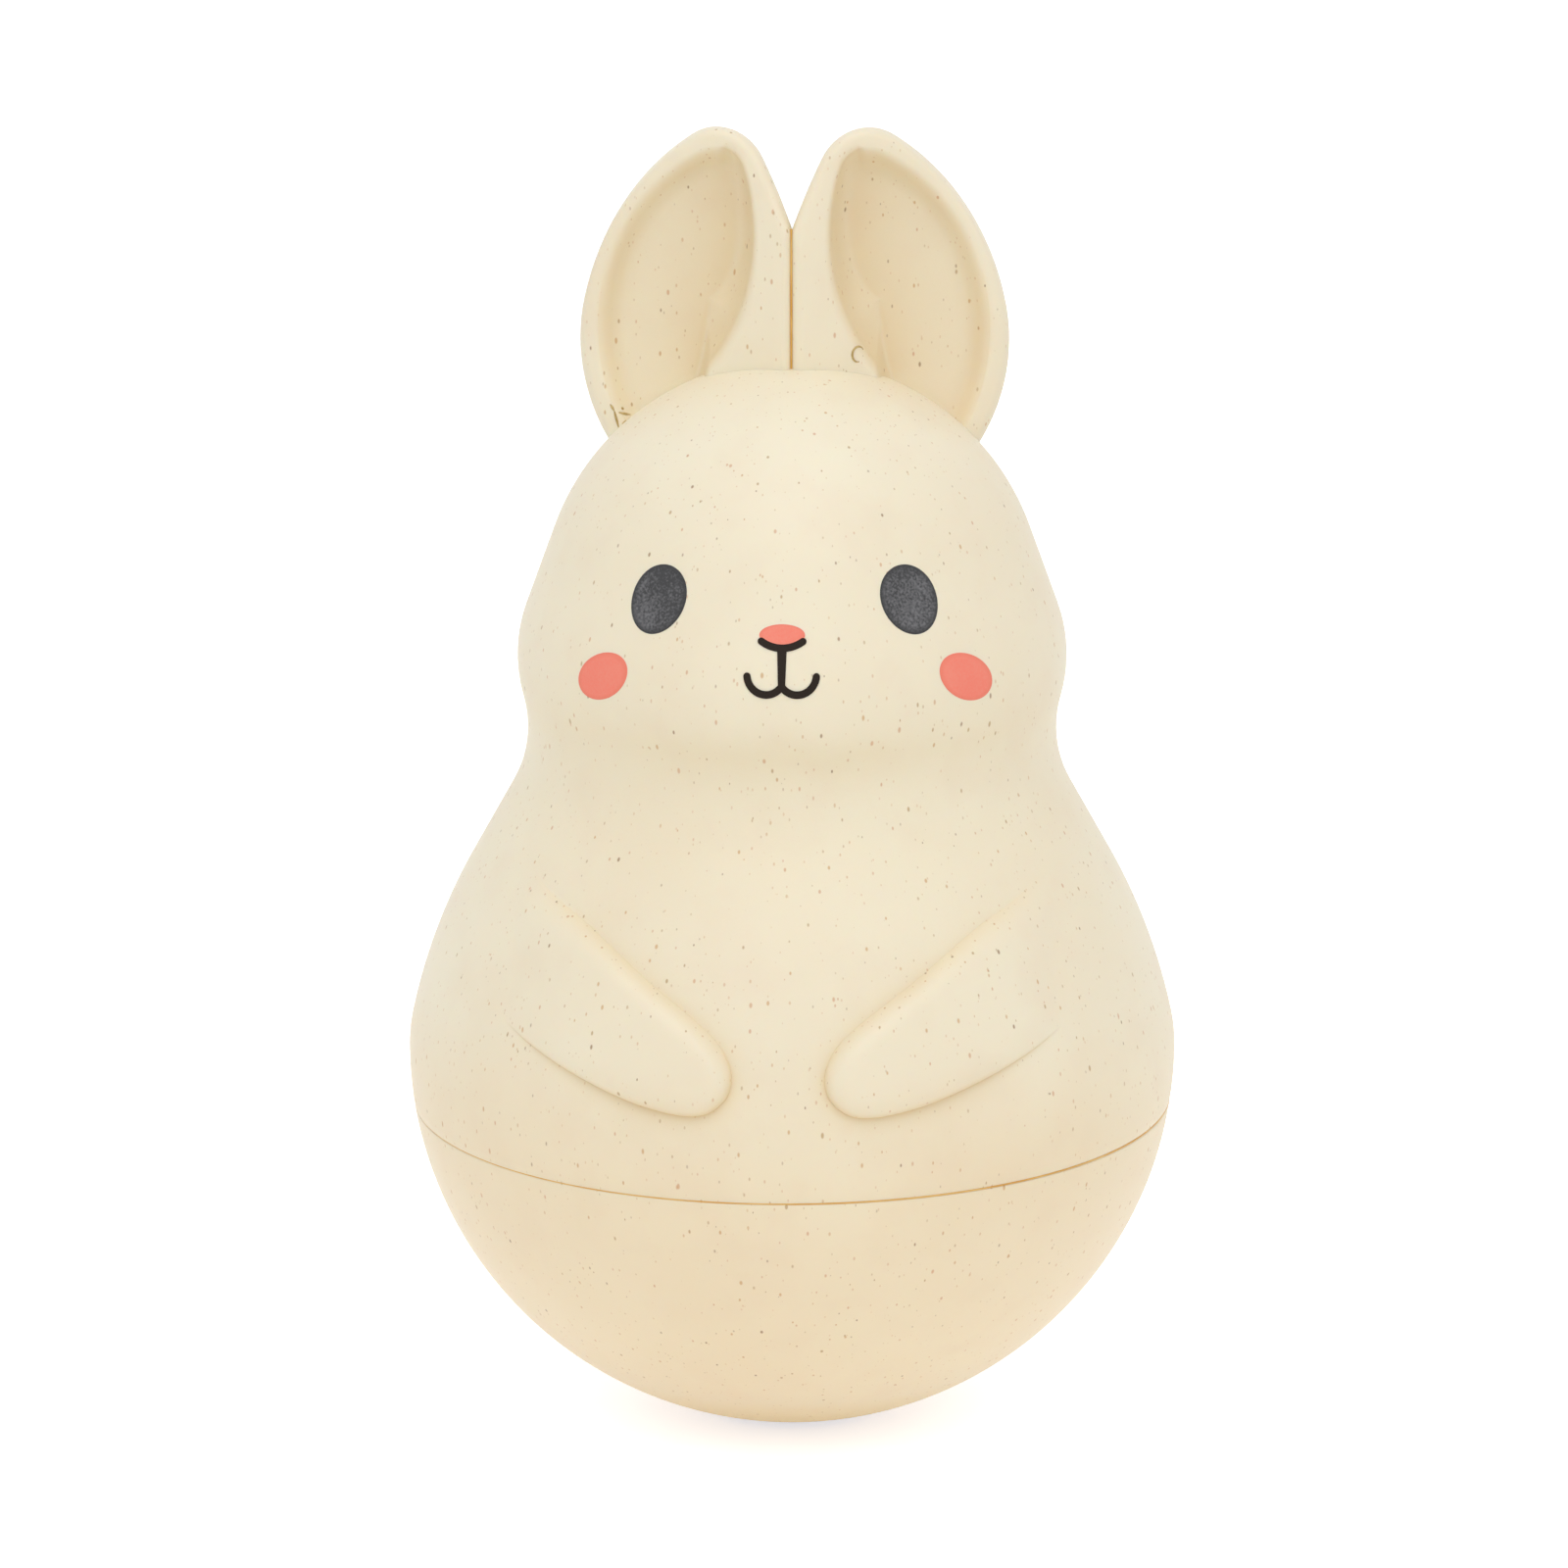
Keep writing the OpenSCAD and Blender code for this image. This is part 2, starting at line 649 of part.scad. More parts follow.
module left_cheek() {
    color(coral) mirror([1, 0, 0]) inked(spot_turn, spot_up) rotate(-spot_lean) oval(spot_w, spot_h);
}

// Right half of the mouth's outline: the dipping line under the nose, the line down, and one arc of the smile
half_w = line_w / 2;
lip_r = (pow(lip_w / 2, 2) + pow(lip_dip, 2)) / (2 * lip_dip);
lip_c = [0, lip_r - lip_down - lip_dip];
lip_open = asin(lip_w / 2 / lip_r);
lip_end = lip_open - 90;
smile_c = [smile_x, -smile_down];
smile_end = 354;
half_mouth = concat(
    plain_arc(lip_c, lip_r - half_w, -90, lip_end),
    plain_arc(lip_c + lip_r * facing(lip_end), half_w, lip_end + 180, lip_end),
    plain_arc(lip_c, lip_r + half_w, lip_end, asin(half_w / (lip_r + half_w)) - 90),
    plain_arc(smile_c, smile_r - half_w, 180 + acos((smile_x - half_w) / (smile_r - half_w)), smile_end),
    plain_arc(smile_c + smile_r * facing(smile_end), half_w, smile_end + 180, smile_end),
    plain_arc(smile_c, smile_r + half_w, smile_end, 180 + acos(smile_x / (smile_r + half_w)))
);
module mouth_lines() {
    last = len(half_mouth) - 2;
    polygon(concat(half_mouth, [for (k = [last : -1 : 1]) [-half_mouth[k][0], half_mouth[k][1]]]));
}

// The nose sits on the first line of the mouth
module nose() {
    color(coral) inked(0, nose_up) difference() {
        oval(nose_w, nose_h);
        mouth_lines();
    }
}

module mouth() {
    color(ink_black) inked(0, nose_up) mouth_lines();
}

bottom_bowl();
body_shell();
left_ear();
right_ear();
ear_clamp();
ear_screws();
counterweight();
chime_base();
base_screws();
chime_rod(0);  // chime_rod_1
chime_rod(1);  // chime_rod_2
chime_rod(2);  // chime_rod_3
chime_rod(3);  // chime_rod_4
chime_bridge();
bridge_screws();
hanger_pin();
clapper_link();
clapper_pin();
clapper_arm();
clapper_ball();
left_eye();
right_eye();
left_cheek();
right_cheek();
nose();
mouth();
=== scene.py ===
# %% [markdown]
# # A roly poly rabbit of straw-fibre plastic
# The toy is a weighted bowl, a hollow body and head snapped onto it, two dished ears and a printed face.
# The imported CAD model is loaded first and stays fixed. Every piece below is made in its frame, in metres,
# and either takes the place of a CAD node or gives a CAD node its finish. Sizes are in millimetres until a
# mesh is made, because that is how a toy maker would give them.

import json
import math

import bmesh
import bpy
import numpy as np
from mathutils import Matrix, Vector
from mathutils.geometry import delaunay_2d_cdt

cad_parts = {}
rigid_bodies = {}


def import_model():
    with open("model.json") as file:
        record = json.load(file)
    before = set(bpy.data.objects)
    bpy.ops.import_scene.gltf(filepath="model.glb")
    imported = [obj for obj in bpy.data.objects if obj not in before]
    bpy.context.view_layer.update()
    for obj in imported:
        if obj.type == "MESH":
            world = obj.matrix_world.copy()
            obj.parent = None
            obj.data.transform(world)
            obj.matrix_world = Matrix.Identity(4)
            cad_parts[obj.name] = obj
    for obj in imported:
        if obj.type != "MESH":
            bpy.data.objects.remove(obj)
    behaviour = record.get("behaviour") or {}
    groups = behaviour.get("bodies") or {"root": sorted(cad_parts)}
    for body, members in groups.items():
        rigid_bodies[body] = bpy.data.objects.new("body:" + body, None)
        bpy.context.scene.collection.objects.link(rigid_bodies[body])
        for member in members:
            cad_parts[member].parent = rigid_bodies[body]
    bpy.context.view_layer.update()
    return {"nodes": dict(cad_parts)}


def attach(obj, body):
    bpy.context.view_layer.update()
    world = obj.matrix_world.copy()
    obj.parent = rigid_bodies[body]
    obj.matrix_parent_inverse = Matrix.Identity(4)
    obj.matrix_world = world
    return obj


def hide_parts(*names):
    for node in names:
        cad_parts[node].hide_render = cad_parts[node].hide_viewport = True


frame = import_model()
MM = 0.001

# %% [markdown]
# ## The outline of body and head
# Body and head are one hollow moulding with the outline of a skittle: out from the seam, round the belly,
# in at the neck and over the crown. A curve drawn by eye would do, but it shows waves as soon as light runs
# over it. A pattern maker strikes such an outline from arcs that meet without a kink, so it is made here
# from the arcs that the CAD solid also has, only sampled much finer.

# %% Outline from tangent arcs
ROLL_R = 47.5
FOOT_R = 5.0
WALL = 2.2
SEAM_DROP = 6.8
ROLL_Z = math.sqrt(ROLL_R**2 - FOOT_R**2)
SEAM_Z = ROLL_Z - SEAM_DROP
SEAM_R = math.sqrt(ROLL_R**2 - SEAM_DROP**2)
SEAM_LEAN = -math.degrees(math.asin(SEAM_DROP / ROLL_R))
BROW_LEAN = 20
# Each arc has its radius, negative where hollow, the wall's lean at both ends, and a straight run after it
BODY_ARCS = (
    (ROLL_R, SEAM_LEAN, 0, 0),
    (18, 0, 12.3, 0),
    (72, 12.3, 29.3, 10.2),
    (-16, 29.3, -15.3, 0),
    (17.7, -15.3, BROW_LEAN, 10.2),
)


def facing(lean):
    """The direction that a wall of this lean in degrees faces, as (outward, up)."""
    return Vector((math.cos(math.radians(lean)), math.sin(math.radians(lean))))


def strike_arc(centre, radius, start, end, step):
    """Points about a step apart along an arc, each with the lean there, up to just before its end."""
    steps = math.ceil(abs(radius * math.radians(end - start)) / step)
    leans = [start + (end - start) * k / steps for k in range(steps)]
    return [(centre + radius * facing(lean), lean) for lean in leans]


def body_outline(step):
    """Points (radius, height) from seam to crown, each with the wall's lean, and the crown's centre."""
    spot = Vector((SEAM_R, SEAM_Z))
    outline = []
    for radius, start, end, run in BODY_ARCS:
        centre = spot - radius * facing(start)
        outline += strike_arc(centre, radius, start, end, step)
        spot = centre + radius * facing(end)
        rise = run * Vector((-facing(end).y, facing(end).x))
        pieces = math.ceil(run / step)
        outline += [(spot + rise * k / pieces, end) for k in range(pieces)]
        spot = spot + rise
    crown_r = spot.x / facing(BROW_LEAN).x
    crown = Vector((0, spot.y - crown_r * facing(BROW_LEAN).y))
    outline += strike_arc(crown, crown_r, BROW_LEAN, 90, step)
    outline.append((crown + crown_r * facing(90), 90))
    return outline, crown


FINE_STEP = 0.1
fine_outline, CROWN = body_outline(FINE_STEP)
CROWN_R = fine_outline[-1][0].y - CROWN.y
FINE_R = np.array([p.x for p, lean in fine_outline])
FINE_Z = np.array([p.y for p, lean in fine_outline])
FINE_LEAN = np.radians([lean for p, lean in fine_outline])
print(f"crown {fine_outline[-1][0].y:.2f} mm high, its radius {CROWN_R:.2f} mm")

# %% [markdown]
# ## The muzzle
# Body and head are round all the way about, except that the face bulges a little between the cheeks, which
# shows only by the soft shade under the chin. A sculpted bump would be hard to size. Here the bulge is a
# number of millimetres for each turn and height: full at the mouth, with a long run up to the brow and a
# short fall to the chin. Whatever lies on the body asks the same function, so the prints follow the bulge.

# %% Muzzle and places on the body
MUZZLE_LIFT = 1.0
# Turns from the middle of the face, in degrees, up to which it is full and at which it has gone
MUZZLE_TURNS = (8, 42)
# Heights of its lower end, its fullest place and its upper end
MUZZLE_HEIGHTS = (86, 96, 124)


def ease(share):
    """Goes from 0 to 1 without a kink at either end."""
    share = min(share, 1)
    return share**2 * (3 - 2 * share)


def muzzle(turn, height):
    """How far the muzzle stands out of the round head at a turn and height."""
    risen = np.interp(height, MUZZLE_HEIGHTS, (0, 1, 0))
    fronted = np.interp(abs(math.degrees(turn)), MUZZLE_TURNS, (1, 0))
    return MUZZLE_LIFT * ease(risen) * ease(fronted)


def on_body(turn, height, lift=0.0):
    """A place on the body or head, or lifted off it: turn from the front's middle in radians, and height."""
    lean = np.interp(height, FINE_Z, FINE_LEAN)
    lift = lift + muzzle(turn, height)
    out = np.interp(height, FINE_Z, FINE_R) + lift * np.cos(lean)
    return Vector((out * math.sin(turn), -out * math.cos(turn), height + lift * np.sin(lean)))


print(f"muzzle {muzzle(0, MUZZLE_HEIGHTS[1]):.1f} mm proud at its fullest")

# %% [markdown]
# ## One way to make closed skins
# The body, the bowl, the ears and the round prints are all closed skins that go once round something. Each
# is made as a ring of sections: a section is a row of points from one pole to the other, and neighbouring
# sections are joined by quads. Mesh primitives with modifiers could give a ball or a ring, but not the
# small rounds at the seam or an ear's dish, and a ring of sections puts each point where it is wanted.

# %% Mesh helpers
SHARP = math.radians(40)


def add_piece(name, mesh):
    """Puts a mesh into the scene as a smooth-shaded piece that stays crisp at sharp edges."""
    mesh.shade_smooth()
    mesh.set_sharp_from_angle(angle=SHARP)
    piece = bpy.data.objects.new(name, mesh)
    bpy.context.scene.collection.objects.link(piece)
    print(f"{name}: {len(mesh.vertices)} points, {len(mesh.polygons)} faces")
    return piece


def skin_from_sections(name, sections, left_out=None):
    """A closed mesh from a ring of sections with shared poles, open where quads are left out."""
    rows = len(sections[0]) - 2
    points = [sections[0][0]] + [p for section in sections for p in section[1:-1]] + [sections[0][-1]]
    last = len(points) - 1
    faces = []
    for t in range(len(sections)):
        here = 1 + t * rows
        there = 1 + (t + 1) % len(sections) * rows
        faces.append((0, here, there))
        for k in range(rows - 1):
            if not (left_out and left_out(t, k + 1)):
                faces.append((here + k, here + k + 1, there + k + 1, there + k))
        faces.append((here + rows - 1, last, there + rows - 1))
    mesh = bpy.data.meshes.new(name)
    mesh.from_pydata([Vector(p) * MM for p in points], [], faces)
    return mesh


def turned(profile, columns):
    """Sections of a turned shape: its profile of (radius, height) at each of many turns about the axis."""
    turns = [2 * math.pi * t / columns for t in range(columns)]
    return [[Vector((r * math.sin(a), -r * math.cos(a), z)) for r, z in profile] for a in turns]


print("mesh helpers ready")

# %% [markdown]
# ## The arms in relief
# Two arms are moulded with the body and lie on the belly. Each paw stands about 2 mm proud with a rounded
# edge over a sharp crease, and the arm melts into the body at the shoulder. Sculpting or a displacement
# map would need a very dense mesh to keep the crease crisp. Here the front of the belly is unrolled flat
# and triangulated round the arm's outline instead, so the crease runs along edges of the mesh, and each
# point is then lifted by how far inside the outline it lies.

# %% Outline and height of an arm
# Turn from the middle of the front in degrees and height, from the shoulder down to the paw and back
ARM_EDGE = (
    (57, 74.5), (46, 72.7), (37, 70.9), (29, 68.4), (21, 65.2), (13.5, 61.9), (9, 59.1), (6.9, 55.9),
    (7.7, 52.9), (11.6, 50.9), (19, 51.3), (29, 53.3), (43, 56.7), (50, 59), (56, 63), (59, 69),
)
UNROLL_R = 45
PAW_LIFT = 2.0
EDGE_ROUND = 2.6
FULL_TURN = 12
# Turns and heights of the arm's middle line: above it the edge is a soft bevel, below it a round on a crease
ARM_MIDDLE = ((10, 57), (57, 69))
BEVEL_BLEND = 5
# Turns at which the arm has melted into the body, along its lower and its upper edge
FADE_TURNS = (48, 56)
# Rows of points laid along the outline, by their distance inside it
EDGE_ROWS = (-0.4, 0, 0.06, 0.2, 0.45, 0.8, 1.3, 1.9, 2.6, 3.4)
EDGE_STEP = 0.5


def smooth_loop(corners, step):
    """A closed curve through the corners, as points about a step apart."""
    loop = []
    for i in range(len(corners)):
        a, b, c, d = (corners[(i + k) % len(corners)] for k in (-1, 0, 1, 2))
        count = max(2, round(np.linalg.norm(c - b) / step))
        for s in np.arange(count) / count:
            loop.append(((-s + 2 * s**2 - s**3) * a + (2 - 5 * s**2 + 3 * s**3) * b
                         + (s + 4 * s**2 - 3 * s**3) * c + (s**3 - s**2) * d) / 2)
    return np.array(loop)


def depth_inside(points, loop):
    """How far each flat point lies inside a closed outline, negative outside it."""
    start = loop[None]
    along = np.roll(loop, -1, axis=0)[None] - start
    to_point = points[:, None] - start
    share = np.clip((to_point * along).sum(2) / (along**2).sum(2), 0, 1)
    gap = np.linalg.norm(to_point - share[..., None] * along, axis=2).min(1)
    above = start[..., 1] > points[:, None, 1]
    passes = above != (start[..., 1] + along[..., 1] > points[:, None, 1])
    rise = np.where(along[..., 1] == 0, 1, along[..., 1])
    left_of = points[:, None, 0] < start[..., 0] + to_point[..., 1] / rise * along[..., 0]
    return np.where((passes & left_of).sum(1) % 2 == 1, gap, -gap)


def arm_lift(points, depth):
    """Height of the arm over the body at flat points that lie so deep inside its outline."""
    rounding = np.clip(depth / EDGE_ROUND, 0, 1)
    turn = np.degrees(np.abs(points[:, 0]) / UNROLL_R)
    over = points[:, 1] - np.interp(turn, *ARM_MIDDLE)
    bevel = np.clip(over / BEVEL_BLEND + 0.5, 0, 1)
    end = FADE_TURNS[0] + (FADE_TURNS[1] - FADE_TURNS[0]) * bevel
    fade = 1 - np.clip((turn - FULL_TURN) / (end - FULL_TURN), 0, 1) ** 2
    falling = 1 - (1 - rounding) ** 2
    return PAW_LIFT * fade * (bevel * falling + (1 - bevel) * np.sqrt(falling))


arm_loop = smooth_loop([np.array((math.radians(t) * UNROLL_R, z)) for t, z in ARM_EDGE], EDGE_STEP)
print(f"arm outline: {len(arm_loop)} points")

# %% [markdown]
# ## The body skin
# The body is hollow, with a thin step inside its lower edge that takes the bowl's spigot. Its section runs
# from the crown down the outside, round the small radius at the seam, up the step and back to the crown
# inside. The two halves of the real toy are pressed together a little out of true, so the seam's edges
# lean by a fraction of a millimetre to one side.

# %% Body section
COLUMNS = 240
ROW_STEP = 1.2
EDGE_R = 0.2
STEP_R = SEAM_R - 1.5
STEP_H = 5.1

outline = body_outline(ROW_STEP)[0]
outside = [(p.x, p.y) for p, lean in reversed(outline) if p.y > SEAM_Z + EDGE_R]
edge_round = [(SEAM_R - EDGE_R + EDGE_R * math.cos(a), SEAM_Z + EDGE_R - EDGE_R * math.sin(a))
              for a in np.radians((15, 45, 75))]
step_top = SEAM_Z + STEP_H
inner = [p - WALL * facing(lean) for p, lean in outline]
inner = [(p.x, p.y) for p in inner if p.y > step_top]
body_profile = outside + edge_round + [(STEP_R, SEAM_Z), (STEP_R, step_top), (inner[0][0], step_top)] + inner

# The part of the front that is triangulated round the arms
PATCH_COLUMNS = 41
PATCH_HEIGHTS = (48, 78)
patch_rows = [k for k, (r, z) in enumerate(outside) if PATCH_HEIGHTS[0] < z < PATCH_HEIGHTS[1]]


def in_patch(t, k):
    """Whether the quad below row k and right of column t belongs to the triangulated front."""
    column = t if t < COLUMNS / 2 else t - COLUMNS
    return -PATCH_COLUMNS <= column < PATCH_COLUMNS and patch_rows[0] <= k < patch_rows[-1]


body_mesh = skin_from_sections("body_skin", turned(body_profile, COLUMNS), in_patch)
print(f"body rows: {len(body_profile)}, of which {len(patch_rows)} meet the arms")

# %% Front of the belly with both arms
# The even grid stops this far outside the rows along the arm's outline, and this far inside them
GRID_CLEAR = (0.5, 0.6)
# What a triangulation keeps, all up to its hull or only inside an outline, and how near is one point
TO_HULL = 0
ENCLOSED = 1
ONE_POINT = 1e-5
column_width = 2 * math.pi / COLUMNS * UNROLL_R
grid = np.array([(c * column_width, outside[k][1])
                 for c in range(-PATCH_COLUMNS, PATCH_COLUMNS + 1) for k in patch_rows])
depth = depth_inside(np.abs(grid), arm_loop)
clear = (depth < EDGE_ROWS[0] - GRID_CLEAR[0]) | (depth > EDGE_ROWS[-1] + GRID_CLEAR[1])
flat = list(grid[clear])

ahead = np.roll(arm_loop, -1, axis=0) - np.roll(arm_loop, 1, axis=0)
inward = np.stack((-ahead[:, 1], ahead[:, 0]), 1) / np.linalg.norm(ahead, axis=1)[:, None]
crease = []
for side in (-1, 1):
    for row in EDGE_ROWS:
        if row == 0:
            crease.append(range(len(flat), len(flat) + len(arm_loop)))
        flat += list((arm_loop + inward * row) * (side, 1))
edges = [(loop[i - 1], loop[i]) for loop in crease for i in range(len(loop))]
flat = [Vector(p) for p in flat]
flat_points, _, flat_faces, *_ = delaunay_2d_cdt(flat, edges, [], TO_HULL, ONE_POINT)
flat_points = np.array(flat_points)
lift = arm_lift(flat_points, depth_inside(np.abs(flat_points), arm_loop))
print(f"belly front: {len(flat_points)} points, highest {lift.max():.2f} mm over the body")

# %% Join the front to the body
SEAM_SPREAD = 8
SEAM_RISE = 0.3
SAME_PLACE = 0.005


def lean_seam(bm, edge, rise):
    """Leans a seam's edge: it rises to the picture's right, and points further from it rise less."""
    for v in bm.verts:
        near = max(0.0, 1 - abs(v.co.z / MM - edge) / SEAM_SPREAD)
        v.co.z += rise * v.co.x / SEAM_R * near**2


def raise_muzzle(bm):
    """Moves the outer points of the face out to the muzzle, and counts them."""
    raised = 0
    for v in bm.verts:
        turn = math.atan2(v.co.x, -v.co.y)
        height = v.co.z / MM
        under = np.interp(height, FINE_Z, FINE_R) - math.hypot(v.co.x, v.co.y) / MM
        if abs(under) < WALL / 4 and muzzle(turn, height) > 0:
            v.co = on_body(turn, height) * MM
            raised += 1
    return raised


bm = bmesh.new()
bm.from_mesh(body_mesh)
belly = [bm.verts.new(on_body(x / UNROLL_R, z, up) * MM) for (x, z), up in zip(flat_points, lift)]
for face in flat_faces:
    bm.faces.new([belly[i] for i in face])
bmesh.ops.delete(bm, geom=[v for v in bm.verts if not v.link_faces], context="VERTS")
bmesh.ops.remove_doubles(bm, verts=bm.verts, dist=SAME_PLACE * MM)
lean_seam(bm, SEAM_Z, SEAM_RISE)
print("points in the muzzle:", raise_muzzle(bm))
open_edges = sum(not e.is_manifold for e in bm.edges)
bm.to_mesh(body_mesh)
bm.free()
body = add_piece("body_skin", body_mesh)
print("open edges in the body:", open_edges)
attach(body, "toy")
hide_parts("body_shell")

# %% [markdown]
# ## The bowl
# The bowl is the lower part of a ball with a small flat where the moulding gate was trimmed, and a spigot
# inside its rim that snaps into the body. A cut ball would look right from a step away, but the seam is a
# feature of this toy: both of its edges have a small round, and the spigot closes the gap behind them.

# %% Bowl section
SEAM_GAP = 0.11
SEAM_OPEN = 0.08
SPIGOT_PLAY = 0.1
SPIGOT_R = STEP_R - SPIGOT_PLAY
SPIGOT_T = 1.5
SPIGOT_H = 5
ROOT_H = 4
SEAT_R = 21.7
SEAT_W = 3
SEAT_Z = 5.5
GATE_R = 2.6
GATE_DEEP = 0.4
GATE_SLOPE = 0.3
RIM_INSET = 0.05
CUP_ROWS = 40
SHELL_ROWS = 60
rim_z = SEAM_Z - SEAM_GAP
rim_r = math.sqrt(ROLL_R**2 - (ROLL_Z - rim_z) ** 2) - RIM_INSET


def ball_rows(radius, low, high, steps):
    """Points (radius, height) up a ball about the rolling centre, between two heights."""
    leans = np.linspace(math.asin((low - ROLL_Z) / radius), math.asin((high - ROLL_Z) / radius), steps)
    return [(radius * math.cos(a), ROLL_Z + radius * math.sin(a)) for a in leans]


ball_in_r = ROLL_R - WALL
seat_out = math.sqrt(ball_in_r**2 - (ROLL_Z - SEAT_Z) ** 2)
cup = ball_rows(ball_in_r, ROLL_Z - ball_in_r, rim_z - ROOT_H, CUP_ROWS)
seat = [(SEAT_R - SEAT_W, SEAT_Z), (seat_out, SEAT_Z)]
spigot = [(SPIGOT_R - SPIGOT_T, rim_z - ROOT_H), (SPIGOT_R - SPIGOT_T, SEAM_Z + SPIGOT_H),
          (SPIGOT_R, SEAM_Z + SPIGOT_H), (SPIGOT_R, rim_z)]
rim_round = [(rim_r - EDGE_R + EDGE_R * math.sin(a), rim_z - EDGE_R + EDGE_R * math.cos(a))
             for a in np.radians((0, 30, 60, 90))]
below = rim_z - 2 * EDGE_R
low_rows = [(r, z) for r, z in cup if r < SEAT_R - SEAT_W]
high_rows = [(r, z) for r, z in cup if r > seat_out]
shell_rows = list(reversed(ball_rows(ROLL_R, 0, below, SHELL_ROWS)))
gate = [(GATE_R + GATE_SLOPE, 0), (GATE_R, GATE_DEEP), (0, GATE_DEEP)]
bowl_profile = low_rows + seat + high_rows + spigot + rim_round + shell_rows + gate
bowl_mesh = skin_from_sections("bowl_skin", turned(bowl_profile, COLUMNS))
bm = bmesh.new()
bm.from_mesh(bowl_mesh)
lean_seam(bm, rim_z, SEAM_RISE - SEAM_OPEN)
bm.to_mesh(bowl_mesh)
bm.free()
bowl = add_piece("bowl_skin", bowl_mesh)
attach(bowl, "toy")
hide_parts("bottom_bowl")

# %% [markdown]
# ## Painted shade in the seam
# Bowl and body snap together, and the narrow gap between them shows as an amber line of warm shade, clearer
# at the picture's right, where the seam is a little open. The gap's own shade would look grey, so an amber
# bead
# stands in for it as painted shade: a thin ring that lies just under the surface between both edges.

# %% Bead of painted shade in the seam
BEAD_R = 0.1
BEAD_SINK = 0.16
BEAD_LEAN = 0.05
BEAD_SIDES = 8


def join_rings(bm, rings, closed):
    """Joins rings of points into a tube, which goes round to its start or has an end at both sides."""
    sides = len(rings[0])
    following = rings[1:] + rings[:1] if closed else rings[1:]
    for here, there in zip(rings, following):
        for i in range(sides):
            bm.faces.new((here[i - 1], here[i], there[i], there[i - 1]))
    if not closed:
        bm.faces.new(rings[0])
        bm.faces.new(rings[-1])
    bmesh.ops.recalc_face_normals(bm, faces=bm.faces)


def add_straw_piece(name, bm):
    """Turns a finished bmesh into a smooth-shaded piece that is fixed to the toy."""
    mesh = bpy.data.meshes.new(name)
    bm.to_mesh(mesh)
    bm.free()
    piece = add_piece(name, mesh)
    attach(piece, "toy")
    return piece


bm = bmesh.new()
rings = []
for t in range(COLUMNS):
    turn = 2 * math.pi * t / COLUMNS
    rightward = math.sin(turn)
    bead_z = SEAM_Z - SEAM_GAP / 2 + (SEAM_RISE - SEAM_OPEN / 2) * rightward
    bead_r = SEAM_R - BEAD_SINK + BEAD_LEAN * rightward
    profile = [facing(360 * i / BEAD_SIDES) * BEAD_R + Vector((bead_r, bead_z)) for i in range(BEAD_SIDES)]
    rings.append([bm.verts.new(Vector((q.x * rightward, -q.x * math.cos(turn), q.y)) * MM) for q in profile])
join_rings(bm, rings, True)
# This bead is painted shade for the gap of the seam
bead = add_straw_piece("seam_shade_bead", bm)

# %% [markdown]
# ## The ears
# Each ear is a leaf with a rounded rim, a flat stem beside its neighbour and a deep dish, and it turns
# outward a little. A solidified sheet would give the dish but one even thickness everywhere. Seen from the
# front, the ear is two leaf outlines of tangent arcs, one inside the other, so it is made as sections from
# the middle of its back, round its edge, over the rim and down into the dish. The dish falls steeply beside
# the stem, where it is deepest, and its floor rises from there to a soft roll at the outer rim.

# %% Leaf outlines of the ear and its dish
EAR_TURN = math.radians(22)
EAR_AHEAD = 4
EAR_GAP = 0.08
EAR_TIP = Vector((9.55, 53.2))
DISH_TIP = Vector((10.1, 53.7))
# Radii at the tip, the inner side, the outer side and the low curve, and the turns where these arcs meet
EAR_RADII = (6.4, 87, 34.3, 21.9)
EAR_TURNS = (180, 152.8, 57, 12.3, -80)
DISH_RADII = (3.95, 25.3, 25.2, 25.9)
DISH_TURNS = (220, 161.8, 63, 33.2, -50)
LEAF_STEPS = 36


def leaf(tip, tip_r, inner_r, side_r, low_r, turns):
    """A leaf of tangent arcs as points (across, up): inner side, tip, outer side, low curve and foot."""
    inner = tip - (inner_r - tip_r) * facing(turns[1])
    side = tip - (side_r - tip_r) * facing(turns[2])
    low = side - (low_r - side_r) * facing(turns[3])
    points = []
    for i, (centre, radius) in enumerate(((inner, inner_r), (tip, tip_r), (side, side_r), (low, low_r))):
        span = turns[i + 1] - turns[i]
        points += [centre + radius * facing(turns[i] + span * k / LEAF_STEPS) for k in range(LEAF_STEPS)]
    foot = low + low_r * facing(turns[4])
    return points + [foot.lerp(points[0], k / LEAF_STEPS) for k in range(LEAF_STEPS)]


DISH_MIDDLE = Vector((11.5, 38))
EAR_SECTIONS = 216


def around(outline, turns):
    """The points of an outline in each direction from the middle of the dish."""
    reach = np.array(outline) - np.array(DISH_MIDDLE)
    angles = np.degrees(np.arctan2(reach[:, 1], reach[:, 0]))
    lengths = np.interp(turns, angles, np.hypot(reach[:, 0], reach[:, 1]), period=360)
    return [DISH_MIDDLE + facing(turn) * length for turn, length in zip(turns, lengths)]


section_turns = np.arange(EAR_SECTIONS) * 360 / EAR_SECTIONS
ear_edge = around(leaf(EAR_TIP, *EAR_RADII, EAR_TURNS), section_turns)
dish_leaf = leaf(DISH_TIP, *DISH_RADII, DISH_TURNS)
dish_edge = around(dish_leaf, section_turns)
# The outer half of the dish's outline, from its low end up to the tip
outer_dish = np.array(dish_leaf[4 * LEAF_STEPS - 1 : 3 * LEAF_STEPS // 2 : -1])
middle_line = EAR_GAP / 2 / math.cos(EAR_TURN)
ear_edge = [Vector((max(p.x, middle_line), p.y)) for p in ear_edge]
print(f"ear outlines: {len(ear_edge)} points each, tip {CROWN.y + max(p.y for p in ear_edge):.1f} mm up")

# %% Sections of the right ear
BACK_DEEP = 9
BACK_WALL = 1.5
BACK_R = 30
BACK_LONG_R = 80
DEEPEST = Vector((11, 32))
RIM_R = 1.6
